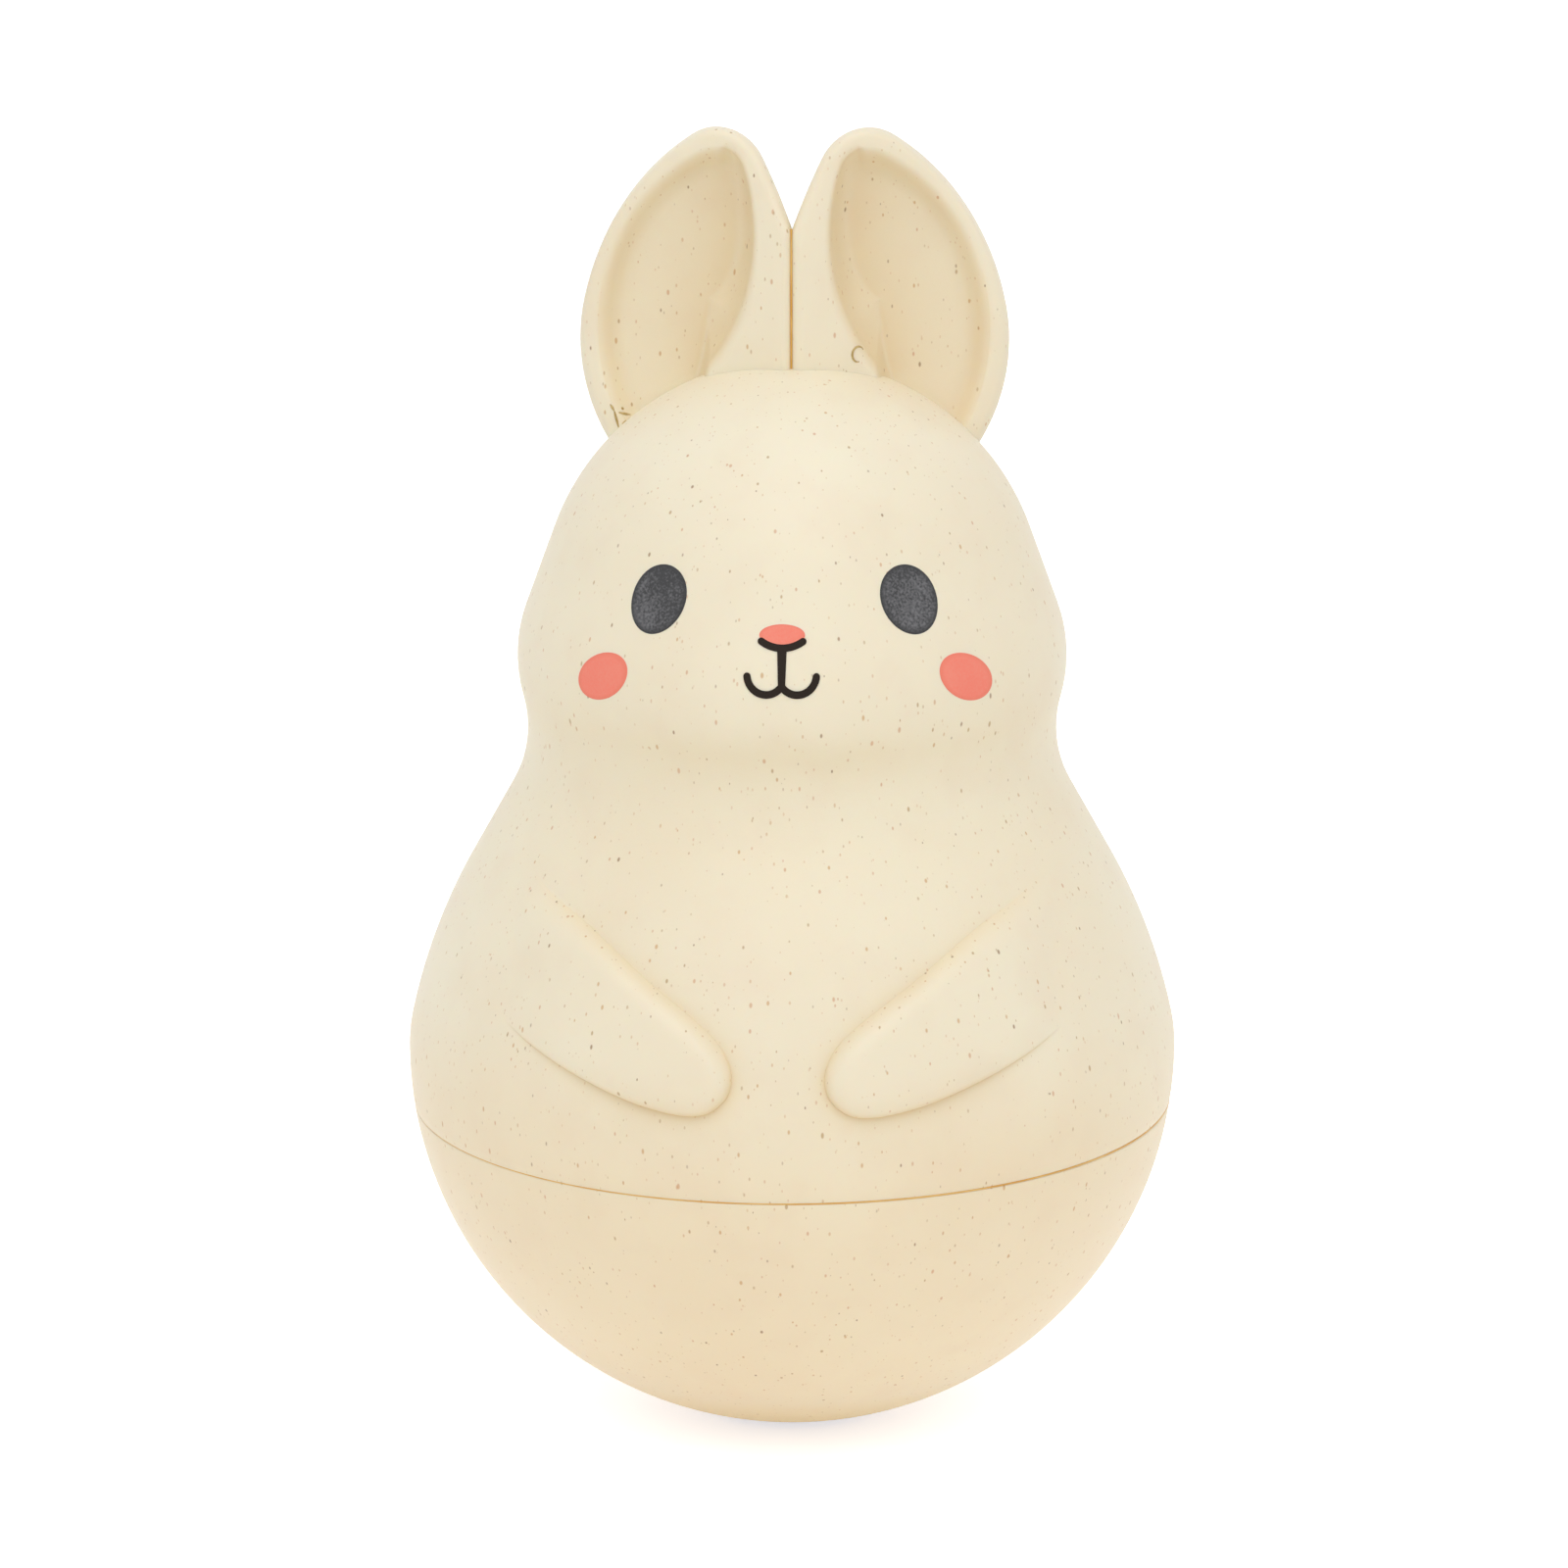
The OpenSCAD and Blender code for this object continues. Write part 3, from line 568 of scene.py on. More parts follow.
# The round at the dish's edge, how much it grows for each millimetre down, and the most of a width it takes
DISH_R = 1.2
DISH_R_GROWTH = 0.025
MOST_ROUND = 0.45
BACK_EDGE_R = 2.2
WALL_FOOT = 5
# The floor is deepest up to this far across, and by how much of its depth it rises to the outer rim
FLOOR_FROM = 6
FLOOR_RISE = 0.78
# Where the dish's edge is shallower than this, its steep wall blends into a soft roll over a run
STEEP_FROM = 1.5
STEEP_BLEND = 2.5
ROLL_RUN = 3
QUARTER = [math.radians(a) for a in (0, 18, 36, 54, 72, 90)]
BACK_QUARTER = [math.radians(a) for a in (25, 38, 51, 64, 77, 90)]
BACK_SHARES = (0, 0.12, 0.25, 0.38, 0.5, 0.62, 0.74, 0.86)
DISH_SHARES = (0.01, 0.03, 0.06, 0.1, 0.16, 0.24, 0.34, 0.46, 0.6, 0.75, 0.88, 1)


def back_depth(p, inset):
    """How far the round back of the ear, or a skin inside it, lies behind the rim."""
    across = math.sqrt((BACK_R - inset) ** 2 - (p.x - DEEPEST.x) ** 2)
    round_r = BACK_LONG_R - BACK_R + across
    return math.sqrt(round_r**2 - (p.y - DEEPEST.y) ** 2) - (BACK_LONG_R - BACK_DEEP)


def floor_depth(p):
    """How far the dish's floor lies behind the rim."""
    outer = np.interp(p.y, outer_dish[:, 1], outer_dish[:, 0])
    share = min(max((p.x - FLOOR_FROM) / (outer - FLOOR_FROM), 0), 1)
    return back_depth(Vector((DEEPEST.x, p.y)), BACK_WALL) * (1 - FLOOR_RISE * share)


def ear_place(p, depth):
    """A place on the right ear: across and up on its front, and so far behind, with walls straight back."""
    y = p.x * math.sin(EAR_TURN) + depth / math.cos(EAR_TURN) - EAR_AHEAD
    return Vector((p.x * math.cos(EAR_TURN), y, CROWN.y + p.y))


def ear_section(edge, dish):
    """One section of the ear, from the middle of its back round its edge and over the rim into the dish."""
    width = (dish - edge).length
    inward = (dish - edge) / width
    rim_r = min(RIM_R, MOST_ROUND * width)
    dish_r = DISH_R + DISH_R_GROWTH * (EAR_TIP.y - dish.y)
    dish_r = min(dish_r, MOST_ROUND * width, MOST_ROUND * floor_depth(dish))
    turn_in = edge + inward * BACK_EDGE_R * (1 - math.sin(BACK_QUARTER[0]))
    turn_depth = back_depth(turn_in, 0) - BACK_EDGE_R * math.cos(BACK_QUARTER[0])
    rows = []
    for share in BACK_SHARES:
        p = DEEPEST.lerp(turn_in, share)
        rows.append((p, back_depth(p, 0)))
    for a in BACK_QUARTER:
        rows.append((edge + inward * BACK_EDGE_R * (1 - math.sin(a)), turn_depth + BACK_EDGE_R * math.cos(a)))
    for a in QUARTER:
        rows.append((edge + inward * rim_r * (1 - math.cos(a)), rim_r * (1 - math.sin(a))))
    steep = min(max((floor_depth(dish) - STEEP_FROM) / STEEP_BLEND, 0), 1)
    run = dish_r + ROLL_RUN
    for a in QUARTER:
        p = dish - inward * dish_r * (1 - math.sin(a))
        rolled = floor_depth(dish) * ease(dish_r * math.sin(a) / run)
        rows.append((p, rolled + steep * (dish_r * (1 - math.cos(a)) - rolled)))
    for share in DISH_SHARES:
        p = dish.lerp(DISH_MIDDLE, share)
        away = (p - dish).length
        near = max(0, 1 - away / WALL_FOOT)
        rolled = floor_depth(p) * ease((dish_r + away) / run)
        walled = dish_r + (floor_depth(p) - dish_r) * math.sqrt(1 - near**2)
        rows.append((p, rolled + steep * (walled - rolled)))
    return [ear_place(p, depth) for p, depth in rows]


ear_sections = [ear_section(edge, dish) for edge, dish in zip(ear_edge, dish_edge)]
print(f"ear sections: {len(ear_sections)} of {len(ear_sections[0])} points")

# %% Both ears, cut to the head
EAR_SINK = 0.15
BALL_STEPS = (160, 80)


def cut_to_head(piece):
    """Cuts away what lies inside the head, to a little under its surface, and leaves a closed mesh."""
    ball_mesh = bpy.data.meshes.new("head_ball")
    bm = bmesh.new()
    bmesh.ops.create_uvsphere(bm, u_segments=BALL_STEPS[0], v_segments=BALL_STEPS[1],
                              radius=(CROWN_R - EAR_SINK) * MM)
    bmesh.ops.translate(bm, verts=bm.verts, vec=(0, 0, CROWN.y * MM))
    bm.to_mesh(ball_mesh)
    bm.free()
    ball = bpy.data.objects.new("head_ball", ball_mesh)
    bpy.context.scene.collection.objects.link(ball)
    cut = piece.modifiers.new("cut", "BOOLEAN")
    cut.object = ball
    cut.operation = "DIFFERENCE"
    cut.solver = "EXACT"
    cut_mesh = bpy.data.meshes.new_from_object(piece.evaluated_get(bpy.context.evaluated_depsgraph_get()))
    piece.modifiers.clear()
    bpy.data.objects.remove(ball)
    bpy.data.meshes.remove(ball_mesh)
    return cut_mesh


ears = {}
for side, name in ((-1, "left_ear"), (1, "right_ear")):
    mesh = skin_from_sections(name + "_skin", [[(side * x, y, z) for x, y, z in row] for row in ear_sections])
    bm = bmesh.new()
    bm.from_mesh(mesh)
    bmesh.ops.recalc_face_normals(bm, faces=bm.faces)
    bm.to_mesh(mesh)
    bm.free()
    ear = add_piece(name + "_skin", mesh)
    ear.data = cut_to_head(ear)
    ear.data.shade_smooth()
    ear.data.set_sharp_from_angle(angle=SHARP)
    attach(ear, "toy")
    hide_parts(name)
    ears[side] = ear
    print(f"{name}: {len(ear.data.polygons)} faces after the cut")

# %% [markdown]
# ## Painted shade between the stems
# Both stems lie flat against each other, and the narrow gap between them shows as a thin brown line of shade
# from the crown up to where the ears part. Its own shade would be a grey line, so a bead of the same painted
# amber shade lies deep between the two rounded rims, where little light gets to it, and follows the front of
# the stems.

# %% Bead of painted shade between the stems
STEM_BEAD_DEEP = 1.15
STEM_BEAD_R = 0.13
STEM_BEAD_FROM = 27
STEM_BEAD_TO = 48
STEM_BEAD_STEPS = 24
bm = bmesh.new()
rings = []
for up in np.linspace(STEM_BEAD_FROM, STEM_BEAD_TO, STEM_BEAD_STEPS):
    spot = ear_place(Vector((0, up)), STEM_BEAD_DEEP)
    profile = [facing(360 * i / BEAD_SIDES) * STEM_BEAD_R for i in range(BEAD_SIDES)]
    rings.append([bm.verts.new((spot + Vector((q.x, q.y, 0))) * MM) for q in profile])
join_rings(bm, rings, False)
# This bead is painted shade for the gap between the stems
stem_bead = add_straw_piece("stem_gap_shade_bead", bm)

# %% [markdown]
# ## Two marks from the moulding
# An ejector pin left a broken ring on the right ear's stem, and a few straw fibres were caught at the foot of
# the left dish. A pattern in the finish cannot be told where to put a single mark. So each mark is made of
# threads a third of a millimetre thick, dropped onto the ear from the front by ray casting, so that they
# follow its surface and sink halfway into it. The ring's tan line is partly the mark's own colour and partly
# painted shade along the edge of the shallow recess that the pin left.

# %% Ejector ring and caught fibres
THREAD_R = 0.16
THREAD_SIDES = 6
THIN_END = 0.4
IN_FRONT = -100
RING_SPOT = (8.0, 133.9)
RING_SIZE = (0.65, 0.9)
RING_TURNS = (25, 285)
RING_STEPS = 40
FIBRE_SPOT = (-21.5, 125.2)
# Both ends of each fibre, across and up from that spot
FIBRES = (
    ((-1.0, 1.2), (-0.5, 0.4)), ((-0.5, 0.4), (0.05, -1.6)), ((0.05, 0.2), (1.45, -0.2)),
    ((0.95, -0.8), (0.5, -1.3)), ((0.35, 0.75), (0.65, 0.5)),
)
FIBRE_STEPS = 8


def lay_thread(bm, ear, path):
    """Lays a thread on an ear along places (across, up) seen from the front, thinner towards its ends."""
    hits = [ear.ray_cast(Vector((x, IN_FRONT, z)) * MM, Vector((0, 1, 0))) for x, z in path]
    around_it = [facing(360 * i / THREAD_SIDES) for i in range(THREAD_SIDES)]
    rings = []
    for k, (hit, spot, normal, face) in enumerate(hits):
        ahead = hits[min(k + 1, len(hits) - 1)][1] - hits[max(k - 1, 0)][1]
        aside = ahead.normalized().cross(normal)
        radius = THREAD_R * MM * (THIN_END + (1 - THIN_END) * math.sin(math.pi * k / (len(hits) - 1)))
        rings.append([bm.verts.new(spot + radius * (d.x * aside + d.y * normal)) for d in around_it])
    join_rings(bm, rings, False)
    return sum(not hit[0] for hit in hits)


def add_marks(name, ear, paths):
    """One piece of threads that lie on an ear."""
    bm = bmesh.new()
    missed = sum(lay_thread(bm, ear, path) for path in paths)
    print(f"{name}: {len(paths)} threads, {missed} points beside the ear")
    return add_straw_piece(name, bm)


bpy.context.view_layer.update()
ring_path = []
for turn in np.linspace(*RING_TURNS, RING_STEPS):
    spot = facing(turn)
    ring_path.append((RING_SPOT[0] + RING_SIZE[0] * spot.x, RING_SPOT[1] + RING_SIZE[1] * spot.y))
ejector_ring = add_marks("ejector_ring", ears[1], [ring_path])
fibre_paths = [[np.array(FIBRE_SPOT) + np.array(a) + (np.array(b) - np.array(a)) * k / FIBRE_STEPS
                for k in range(FIBRE_STEPS + 1)] for a, b in FIBRES]
caught_fibres = add_marks("caught_fibres", ears[-1], fibre_paths)

# %% [markdown]
# ## The printed face
# Eyes, cheeks, nose and mouth are pad-printed: a soft pad lays a film of ink that is a few hundredths of a
# millimetre thick. A colour painted into the body's material would need a texture or a mask for each print.
# Here each print is a thin closed film that lies on the head and sinks a little into it, so its edge is
# sharp and its ink has a finish of its own. The pad comes from one side, so a print that lies on the round
# of the cheek is stretched there, as on the real toy.

# %% Round prints
INK = 0.05
MOUTH_INK = 0.07
INK_UNDER = 0.1
CHEEK_Z = 91.915
NOSE_UP = 13.9
OVAL_STEPS = 96
# Share of the way to the edge and height of the film there, over the top and back along the underside
FILM_ROWS = ((0, INK), (0.3, INK), (0.6, INK), (0.8, INK), (0.92, INK), (0.98, 0.8 * INK), (1, 0.2 * INK),
             (0.99, -INK_UNDER), (0.5, -INK_UNDER), (0, -INK_UNDER))
# Node, side, turn from the middle of the face in degrees, height over the cheeks' start, width, height, lean
OVALS = (
    ("left_eye", -1, 29.5, 17.1, 7.5, 8.1, 28), ("right_eye", 1, 29.5, 17.3, 7.5, 8.1, 28),
    ("left_cheek", -1, 40.7, 7.4, 8.3, 5.4, -21.5), ("right_cheek", 1, 40.7, 7.7, 8.3, 5.4, -21.5),
    ("nose", 1, 0, NOSE_UP, 5.3, 2.5, 0),
)


def on_face(turn, level, across, lift):
    """A place on the face at a level, so far across from the line that a turn gives, seen from that side."""
    out = np.interp(level, FINE_Z, FINE_R)
    return on_body(turn + math.asin(across / out), level, lift)


prints = {}
for node, side, turn, up, width, tall, lean in OVALS:
    along = facing(lean)
    sections = []
    for k in range(OVAL_STEPS):
        spot = facing(360 * k / OVAL_STEPS)
        across = spot.x * width / 2 * along.x - spot.y * tall / 2 * along.y
        rise = spot.x * width / 2 * along.y + spot.y * tall / 2 * along.x
        sections.append([on_face(side * math.radians(turn), CHEEK_Z + up + f * rise, side * f * across, lift)
                         for f, lift in FILM_ROWS])
    mesh = skin_from_sections(node + "_ink", sections)
    rim = mesh.attributes.new("rim", "FLOAT", "POINT")
    shares = [f for f, lift in FILM_ROWS]
    rim.data.foreach_set("value", shares[:1] + shares[1:-1] * OVAL_STEPS + shares[-1:])
    prints[node] = add_piece(node + "_ink", mesh)

# %% Mouth
LINE_W = 0.85
LIP_W = 4.8
LIP_DOWN = 0.7
LIP_DIP = 0.75
SMILE_R = 2.2
SMILE_X = 1.8
SMILE_DOWN = 4.4
SMILE_END = 354
MOUTH_STEP = 0.12
STEM_STEPS = 24
half_w = LINE_W / 2
lip_r = (LIP_W**2 / 4 + LIP_DIP**2) / (2 * LIP_DIP)
lip_c = Vector((0, lip_r - LIP_DOWN - LIP_DIP))
lip_end = math.degrees(math.asin(LIP_W / 2 / lip_r)) - 90
smile_c = Vector((SMILE_X, -SMILE_DOWN))
stem_in = math.degrees(math.asin(half_w / (lip_r + half_w))) - 90
smile_in = 180 + math.degrees(math.acos((SMILE_X - half_w) / (SMILE_R - half_w)))
smile_out = 180 + math.degrees(math.acos(SMILE_X / (SMILE_R + half_w)))
# Right half of the outline: the line under the nose with its round end, then one arc of the smile
MOUTH_ARCS = (
    (lip_c, lip_r - half_w, -90, lip_end),
    (lip_c + lip_r * facing(lip_end), half_w, lip_end + 180, lip_end),
    (lip_c, lip_r + half_w, lip_end, stem_in),
    (smile_c, SMILE_R - half_w, smile_in, SMILE_END),
    (smile_c + SMILE_R * facing(SMILE_END), half_w, SMILE_END + 180, SMILE_END),
    (smile_c, SMILE_R + half_w, SMILE_END, smile_out),
)
half_mouth = []
for arc in MOUTH_ARCS:
    if arc[0] == smile_c and arc[1] < SMILE_R:
        top = half_mouth[-1]
        foot = smile_c + arc[1] * facing(arc[2])
        half_mouth += [top.lerp(foot, k / STEM_STEPS) for k in range(1, STEM_STEPS)]
    half_mouth += [p for p, lean in strike_arc(*arc, MOUTH_STEP)]
half_mouth.append(smile_c + (SMILE_R + half_w) * facing(smile_out))
loop = half_mouth + [Vector((-p.x, p.y)) for p in reversed(half_mouth[1:-1])]
rim_edges = [(k, (k + 1) % len(loop)) for k in range(len(loop))]
points, _, triangles, *_ = delaunay_2d_cdt(loop, rim_edges, [], ENCLOSED, ONE_POINT)

bm = bmesh.new()
layers = [[bm.verts.new(on_face(0, CHEEK_Z + NOSE_UP + p.y, p.x, lift) * MM) for p in points]
          for lift in (MOUTH_INK, -INK_UNDER)]
for triangle in triangles:
    bm.faces.new([layers[0][i] for i in triangle])
    bm.faces.new([layers[1][i] for i in reversed(triangle)])
open_rim = [e for e in bm.edges if e.is_boundary]
bmesh.ops.bridge_loops(bm, edges=open_rim)
bmesh.ops.recalc_face_normals(bm, faces=bm.faces)
mesh = bpy.data.meshes.new("mouth_ink")
bm.to_mesh(mesh)
bm.free()
prints["mouth"] = add_piece("mouth_ink", mesh)
for node, piece in prints.items():
    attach(piece, "toy")
    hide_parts(node)

# %% [markdown]
# ## Finishes: how a material is written
# Every finish below is procedural. Colours are written as sRGB hex, as a paint chart or a colour picker
# gives them, and one function turns them into the linear values that shaders use. Patterns are written in
# millimetres. One small function adds a node, sets it and links it, so that a finish reads as a short list.
# An input is called by its name, or by its number where several share a name, as on Math and Mix nodes.

# %% Shader helpers
# Sockets of a Mix node for colours: the share, the colour it starts from, the one it goes to, and the result
MIX_SHARE = 0
MIX_FROM = 6
MIX_TO = 7
MIX_RESULT = 2


def linear(code):
    """An sRGB hex colour as linear RGBA."""
    channels = [int(code[i : i + 2], 16) / 255 for i in (1, 3, 5)]
    return [c / 12.92 if c <= 0.04045 else ((c + 0.055) / 1.055) ** 2.4 for c in channels] + [1]


def per_mm(size):
    """The scale of a pattern whose features are this many millimetres apart."""
    return 1 / (size * MM)


def add_node(tree, kind, into, stops=(), **settings):
    """Adds a node with its settings and a ramp's stops, and gives each socket a value or a link."""
    node = tree.nodes.new("ShaderNode" + kind)
    for name, value in settings.items():
        setattr(node, name, value)
    # A new ramp already has two stops
    for k, (position, code) in enumerate(stops):
        stop = node.color_ramp.elements[k] if k < 2 else node.color_ramp.elements.new(position)
        stop.position = position
        stop.color = linear(code)
    for socket, value in into.items():
        if isinstance(value, bpy.types.NodeSocket):
            tree.links.new(value, node.inputs[socket])
        else:
            node.inputs[socket].default_value = value
    return node


def new_finish(name):
    """An empty material with its node tree and the place on the object that its patterns start from."""
    material = bpy.data.materials.new(name)
    material.use_nodes = True
    tree = material.node_tree
    tree.nodes.clear()
    return material, tree, add_node(tree, "TexCoord", {}).outputs["Object"]


print("shader helpers ready")

# %% [markdown]
# ## Straw-fibre polypropylene, moulded
# The toy is polypropylene filled with ground straw. The plastic itself is cream with slow, cloudy changes of
# tone, and the straw shows as specks of tan, pink-brown, olive and a few dark ones, mostly under half a
# millimetre and often longer than wide, because they lie along the flow of the melt. A noise texture gives
# soft dots of one kind only. Voronoi cells give each speck a place, and a random size, tone and presence of
# its own, and stretching the space of each layer along another direction makes the specks into short fibres.

# %% Straw-fibre plastic
FLECK_TONES = ((0, "#CFA46A"), (0.4, "#D4A67E"), (0.65, "#B8955F"), (0.88, "#8C6234"))
# Cell size and largest speck radius in mm, share of cells with a speck, its strength, the stretch's turn
FLECK_LAYERS = (
    (1.5, 0.24, 0.55, 0.7, (0.3, 0.5, 0.2)),
    (1.5, 0.24, 0.55, 0.7, (1.2, -0.4, 0.9)),
    (1.0, 0.18, 0.6, 0.5, (-0.7, 0.9, 0.4)),
    (0.7, 0.14, 0.6, 0.35, (0.5, -1.1, 1.7)),
)
STRETCH = (1, 1, 0.5)
# The smallest speck as a share of the largest, and the share of the way to its edge where it starts to fade
LEAST_FLECK = 0.3
FLECK_EDGE = 0.6
CREAMS = ((0.3, "#F1E5CB"), (0.7, "#F4EBD3"))
CLOUD_MM = 26
BLUSH = "#EBD6BC"
BLUSH_MM = 7

straw, tree, place = new_finish("straw_polypropylene_moulded")
cloud = add_node(tree, "TexNoise", {"Vector": place, "Scale": per_mm(CLOUD_MM), "Detail": 2})
cream = add_node(tree, "ValToRGB", {"Fac": cloud.outputs["Fac"]}, CREAMS)
blush = add_node(tree, "TexNoise", {"Vector": place, "Scale": per_mm(BLUSH_MM), "Detail": 3})
blush_share = add_node(tree, "MapRange", {
    "Value": blush.outputs["Fac"], "From Min": 0.5, "From Max": 0.75, "To Max": 0.2})
colour = add_node(tree, "Mix", {
    MIX_SHARE: blush_share.outputs[0], MIX_FROM: cream.outputs[0], MIX_TO: linear(BLUSH)},
    data_type="RGBA").outputs[MIX_RESULT]
for cell, radius, presence, strength, turn in FLECK_LAYERS:
    laid = add_node(tree, "Mapping", {"Vector": place, "Rotation": turn, "Scale": STRETCH})
    cells = add_node(tree, "TexVoronoi", {"Vector": laid.outputs[0], "Scale": per_mm(cell)})
    chance = add_node(tree, "SeparateColor", {"Color": cells.outputs["Color"]})
    most = radius / cell
    size = add_node(tree, "MapRange", {
        "Value": chance.outputs["Red"], "To Min": LEAST_FLECK * most, "To Max": most})
    reach = add_node(tree, "Math", {0: cells.outputs["Distance"], 1: size.outputs[0]}, operation="DIVIDE")
    speck = add_node(tree, "MapRange", {
        "Value": reach.outputs[0], "From Min": FLECK_EDGE, "To Min": strength, "To Max": 0})
    there = add_node(tree, "Math", {0: chance.outputs["Green"], 1: presence}, operation="LESS_THAN")
    share = add_node(tree, "Math", {0: speck.outputs[0], 1: there.outputs[0]}, operation="MULTIPLY")
    tone = add_node(tree, "ValToRGB", {"Fac": chance.outputs["Blue"]}, FLECK_TONES)
    tone.color_ramp.interpolation = "CONSTANT"
    colour = add_node(tree, "Mix", {MIX_SHARE: share.outputs[0], MIX_FROM: colour, MIX_TO: tone.outputs[0]},
                      data_type="RGBA").outputs[MIX_RESULT]
print("straw plastic:", len(FLECK_LAYERS), "layers of specks")

# %% Painted warm shade on the straw plastic
# Painted shade in hollows: near the toy's own surface, the colour is multiplied towards a warmer, deeper
# tone, standing in for light that bounces off cream several times and comes back warmer and deeper
HOLLOW_MM = 30
HOLLOW_PAINTED_SHADE = "#F0DFBE"
HOLLOW_POWER = 0.6
hollow = add_node(tree, "AmbientOcclusion", {"Distance": HOLLOW_MM * MM}, samples=8, only_local=True)
closed = add_node(tree, "Math", {0: 1, 1: hollow.outputs["AO"]}, operation="SUBTRACT")
painted_shade_share = add_node(tree, "Math", {0: closed.outputs[0], 1: HOLLOW_POWER}, operation="POWER", use_clamp=True)
colour = add_node(tree, "Mix", {MIX_SHARE: painted_shade_share.outputs[0], MIX_FROM: colour, MIX_TO: linear(HOLLOW_PAINTED_SHADE)},
                  data_type="RGBA", blend_type="MULTIPLY").outputs[MIX_RESULT]
# Painted warm shade on the bowl, stronger the further down it faces, standing in for light through its own
# plastic: how far, and the tint
UNDERSIDE_PAINTED_SHADE = ((0, "#FFF9F2"), (0.8, "#FFF8F1"), (0.93, "#FFF0CC"), (1, "#FFE8AE"))
TINT_FROM = SEAM_Z + 16
TINT_TO = SEAM_Z + 1
height = add_node(tree, "SeparateXYZ", {"Vector": place})
low_down = add_node(tree, "MapRange", {
    "Value": height.outputs["Z"], "From Min": TINT_FROM * MM, "From Max": TINT_TO * MM})
surface = add_node(tree, "NewGeometry", {})
upright = add_node(tree, "SeparateXYZ", {"Vector": surface.outputs["Normal"]})
down = add_node(tree, "MapRange", {"Value": upright.outputs["Z"], "From Max": -1})
painted_underside_shade = add_node(tree, "ValToRGB", {"Fac": down.outputs[0]}, UNDERSIDE_PAINTED_SHADE)
colour = add_node(tree, "Mix", {MIX_SHARE: low_down.outputs[0], MIX_FROM: colour, MIX_TO: painted_underside_shade.outputs[0]},
                  data_type="RGBA", blend_type="MULTIPLY").outputs[MIX_RESULT]
print("warm tints: hollows within", HOLLOW_MM, "mm, bowl up to", round(TINT_FROM, 1), "mm")

# %% Grain and gloss of the straw plastic
# The mould's spark-eroded grain is a few hundredths of a millimetre and is drawn this coarse, so as to show
GRAIN_MM = 0.4
GRAIN_DEEP = 0.02
grain = add_node(tree, "TexNoise", {"Vector": place, "Scale": per_mm(GRAIN_MM), "Detail": 2})
gloss = add_node(tree, "MapRange", {
    "Value": grain.outputs["Fac"], "From Min": 0.3, "From Max": 0.7, "To Min": 0.44, "To Max": 0.52})
relief = add_node(tree, "Bump", {"Height": grain.outputs["Fac"], "Strength": 0.25,
                                 "Distance": GRAIN_DEEP * MM})
plastic = add_node(tree, "BsdfPrincipled", {
    "Base Color": colour, "Roughness": gloss.outputs[0], "IOR": 1.49, "Normal": relief.outputs[0],
    "Subsurface Weight": 0.2, "Subsurface Radius": (1.0, 0.55, 0.25), "Subsurface Scale": 1.2 * MM})
add_node(tree, "OutputMaterial", {"Surface": plastic.outputs[0]})
for piece in (body, bowl, *ears.values()):
    piece.data.materials.clear()
    piece.data.materials.append(straw)
print("straw plastic:", len(tree.nodes), "nodes")

# %% [markdown]
# ## Bare straw
# Where the straw is not wrapped in plastic, as in the caught fibres, it is olive brown and dull, with darker
# lengths. The ejector ring gets the same finish, so its tan line is partly a mark and partly painted shade.
# One noise is all that such a small thing shows.

# %% Bare straw
STRAW_TONES = ((0.4, "#B0965C"), (0.6, "#CBB27C"))
LENGTH_MM = 0.5
bare, tree, place = new_finish("straw_fibre_bare")
lengths = add_node(tree, "TexNoise", {"Vector": place, "Scale": per_mm(LENGTH_MM), "Detail": 2})
tones = add_node(tree, "ValToRGB", {"Fac": lengths.outputs["Fac"]}, STRAW_TONES)
dull = add_node(tree, "BsdfPrincipled", {"Base Color": tones.outputs[0], "Roughness": 0.7})
add_node(tree, "OutputMaterial", {"Surface": dull.outputs[0]})
for piece in (ejector_ring, caught_fibres):
    piece.data.materials.append(bare)
print("bare straw on 2 marks")

# %% [markdown]
# ## Painted shade in the gaps
# Both beads carry painted shade: an amber, a little cloudy, for the warm shade deep in the narrow gaps. It
# has no specks and no grain, so it gets slow changes of tone and a low roughness.

# %% Painted amber shade of the gaps
GAP_SHADE_TONES = ((0.4, "#DDA548"), (0.6, "#E8BC6C"))
GAP_SHADE_CLOUD_MM = 5
# The amber of both beads is painted shade for the gaps
gap_shade_amber, tree, place = new_finish("painted_gap_shade_amber")
gap_shade_cloud = add_node(tree, "TexNoise", {"Vector": place, "Scale": per_mm(GAP_SHADE_CLOUD_MM), "Detail": 3})
tones = add_node(tree, "ValToRGB", {"Fac": gap_shade_cloud.outputs["Fac"]}, GAP_SHADE_TONES)
smooth = add_node(tree, "BsdfPrincipled", {"Base Color": tones.outputs[0], "Roughness": 0.35, "IOR": 1.49})
add_node(tree, "OutputMaterial", {"Surface": smooth.outputs[0]})
for piece in (bead, stem_bead):
    piece.data.materials.append(gap_shade_amber)
print("weld finish on 2 beads")

# %% [markdown]
# ## Pad-printing inks
# Pad-printing ink is a thin solvent film, matt to silky, with a slightly fuller edge where the pad squeezes
# it outward and small pinholes where it did not wet the plastic. The charcoal of the eyes is thin enough to
# look grey and grainy, while coral and black cover well. One recipe takes the colours and the amounts.

# %% Inks
PINHOLE_MM = 0.3
WETTING_MM = 6
FILM_RELIEF = 0.02


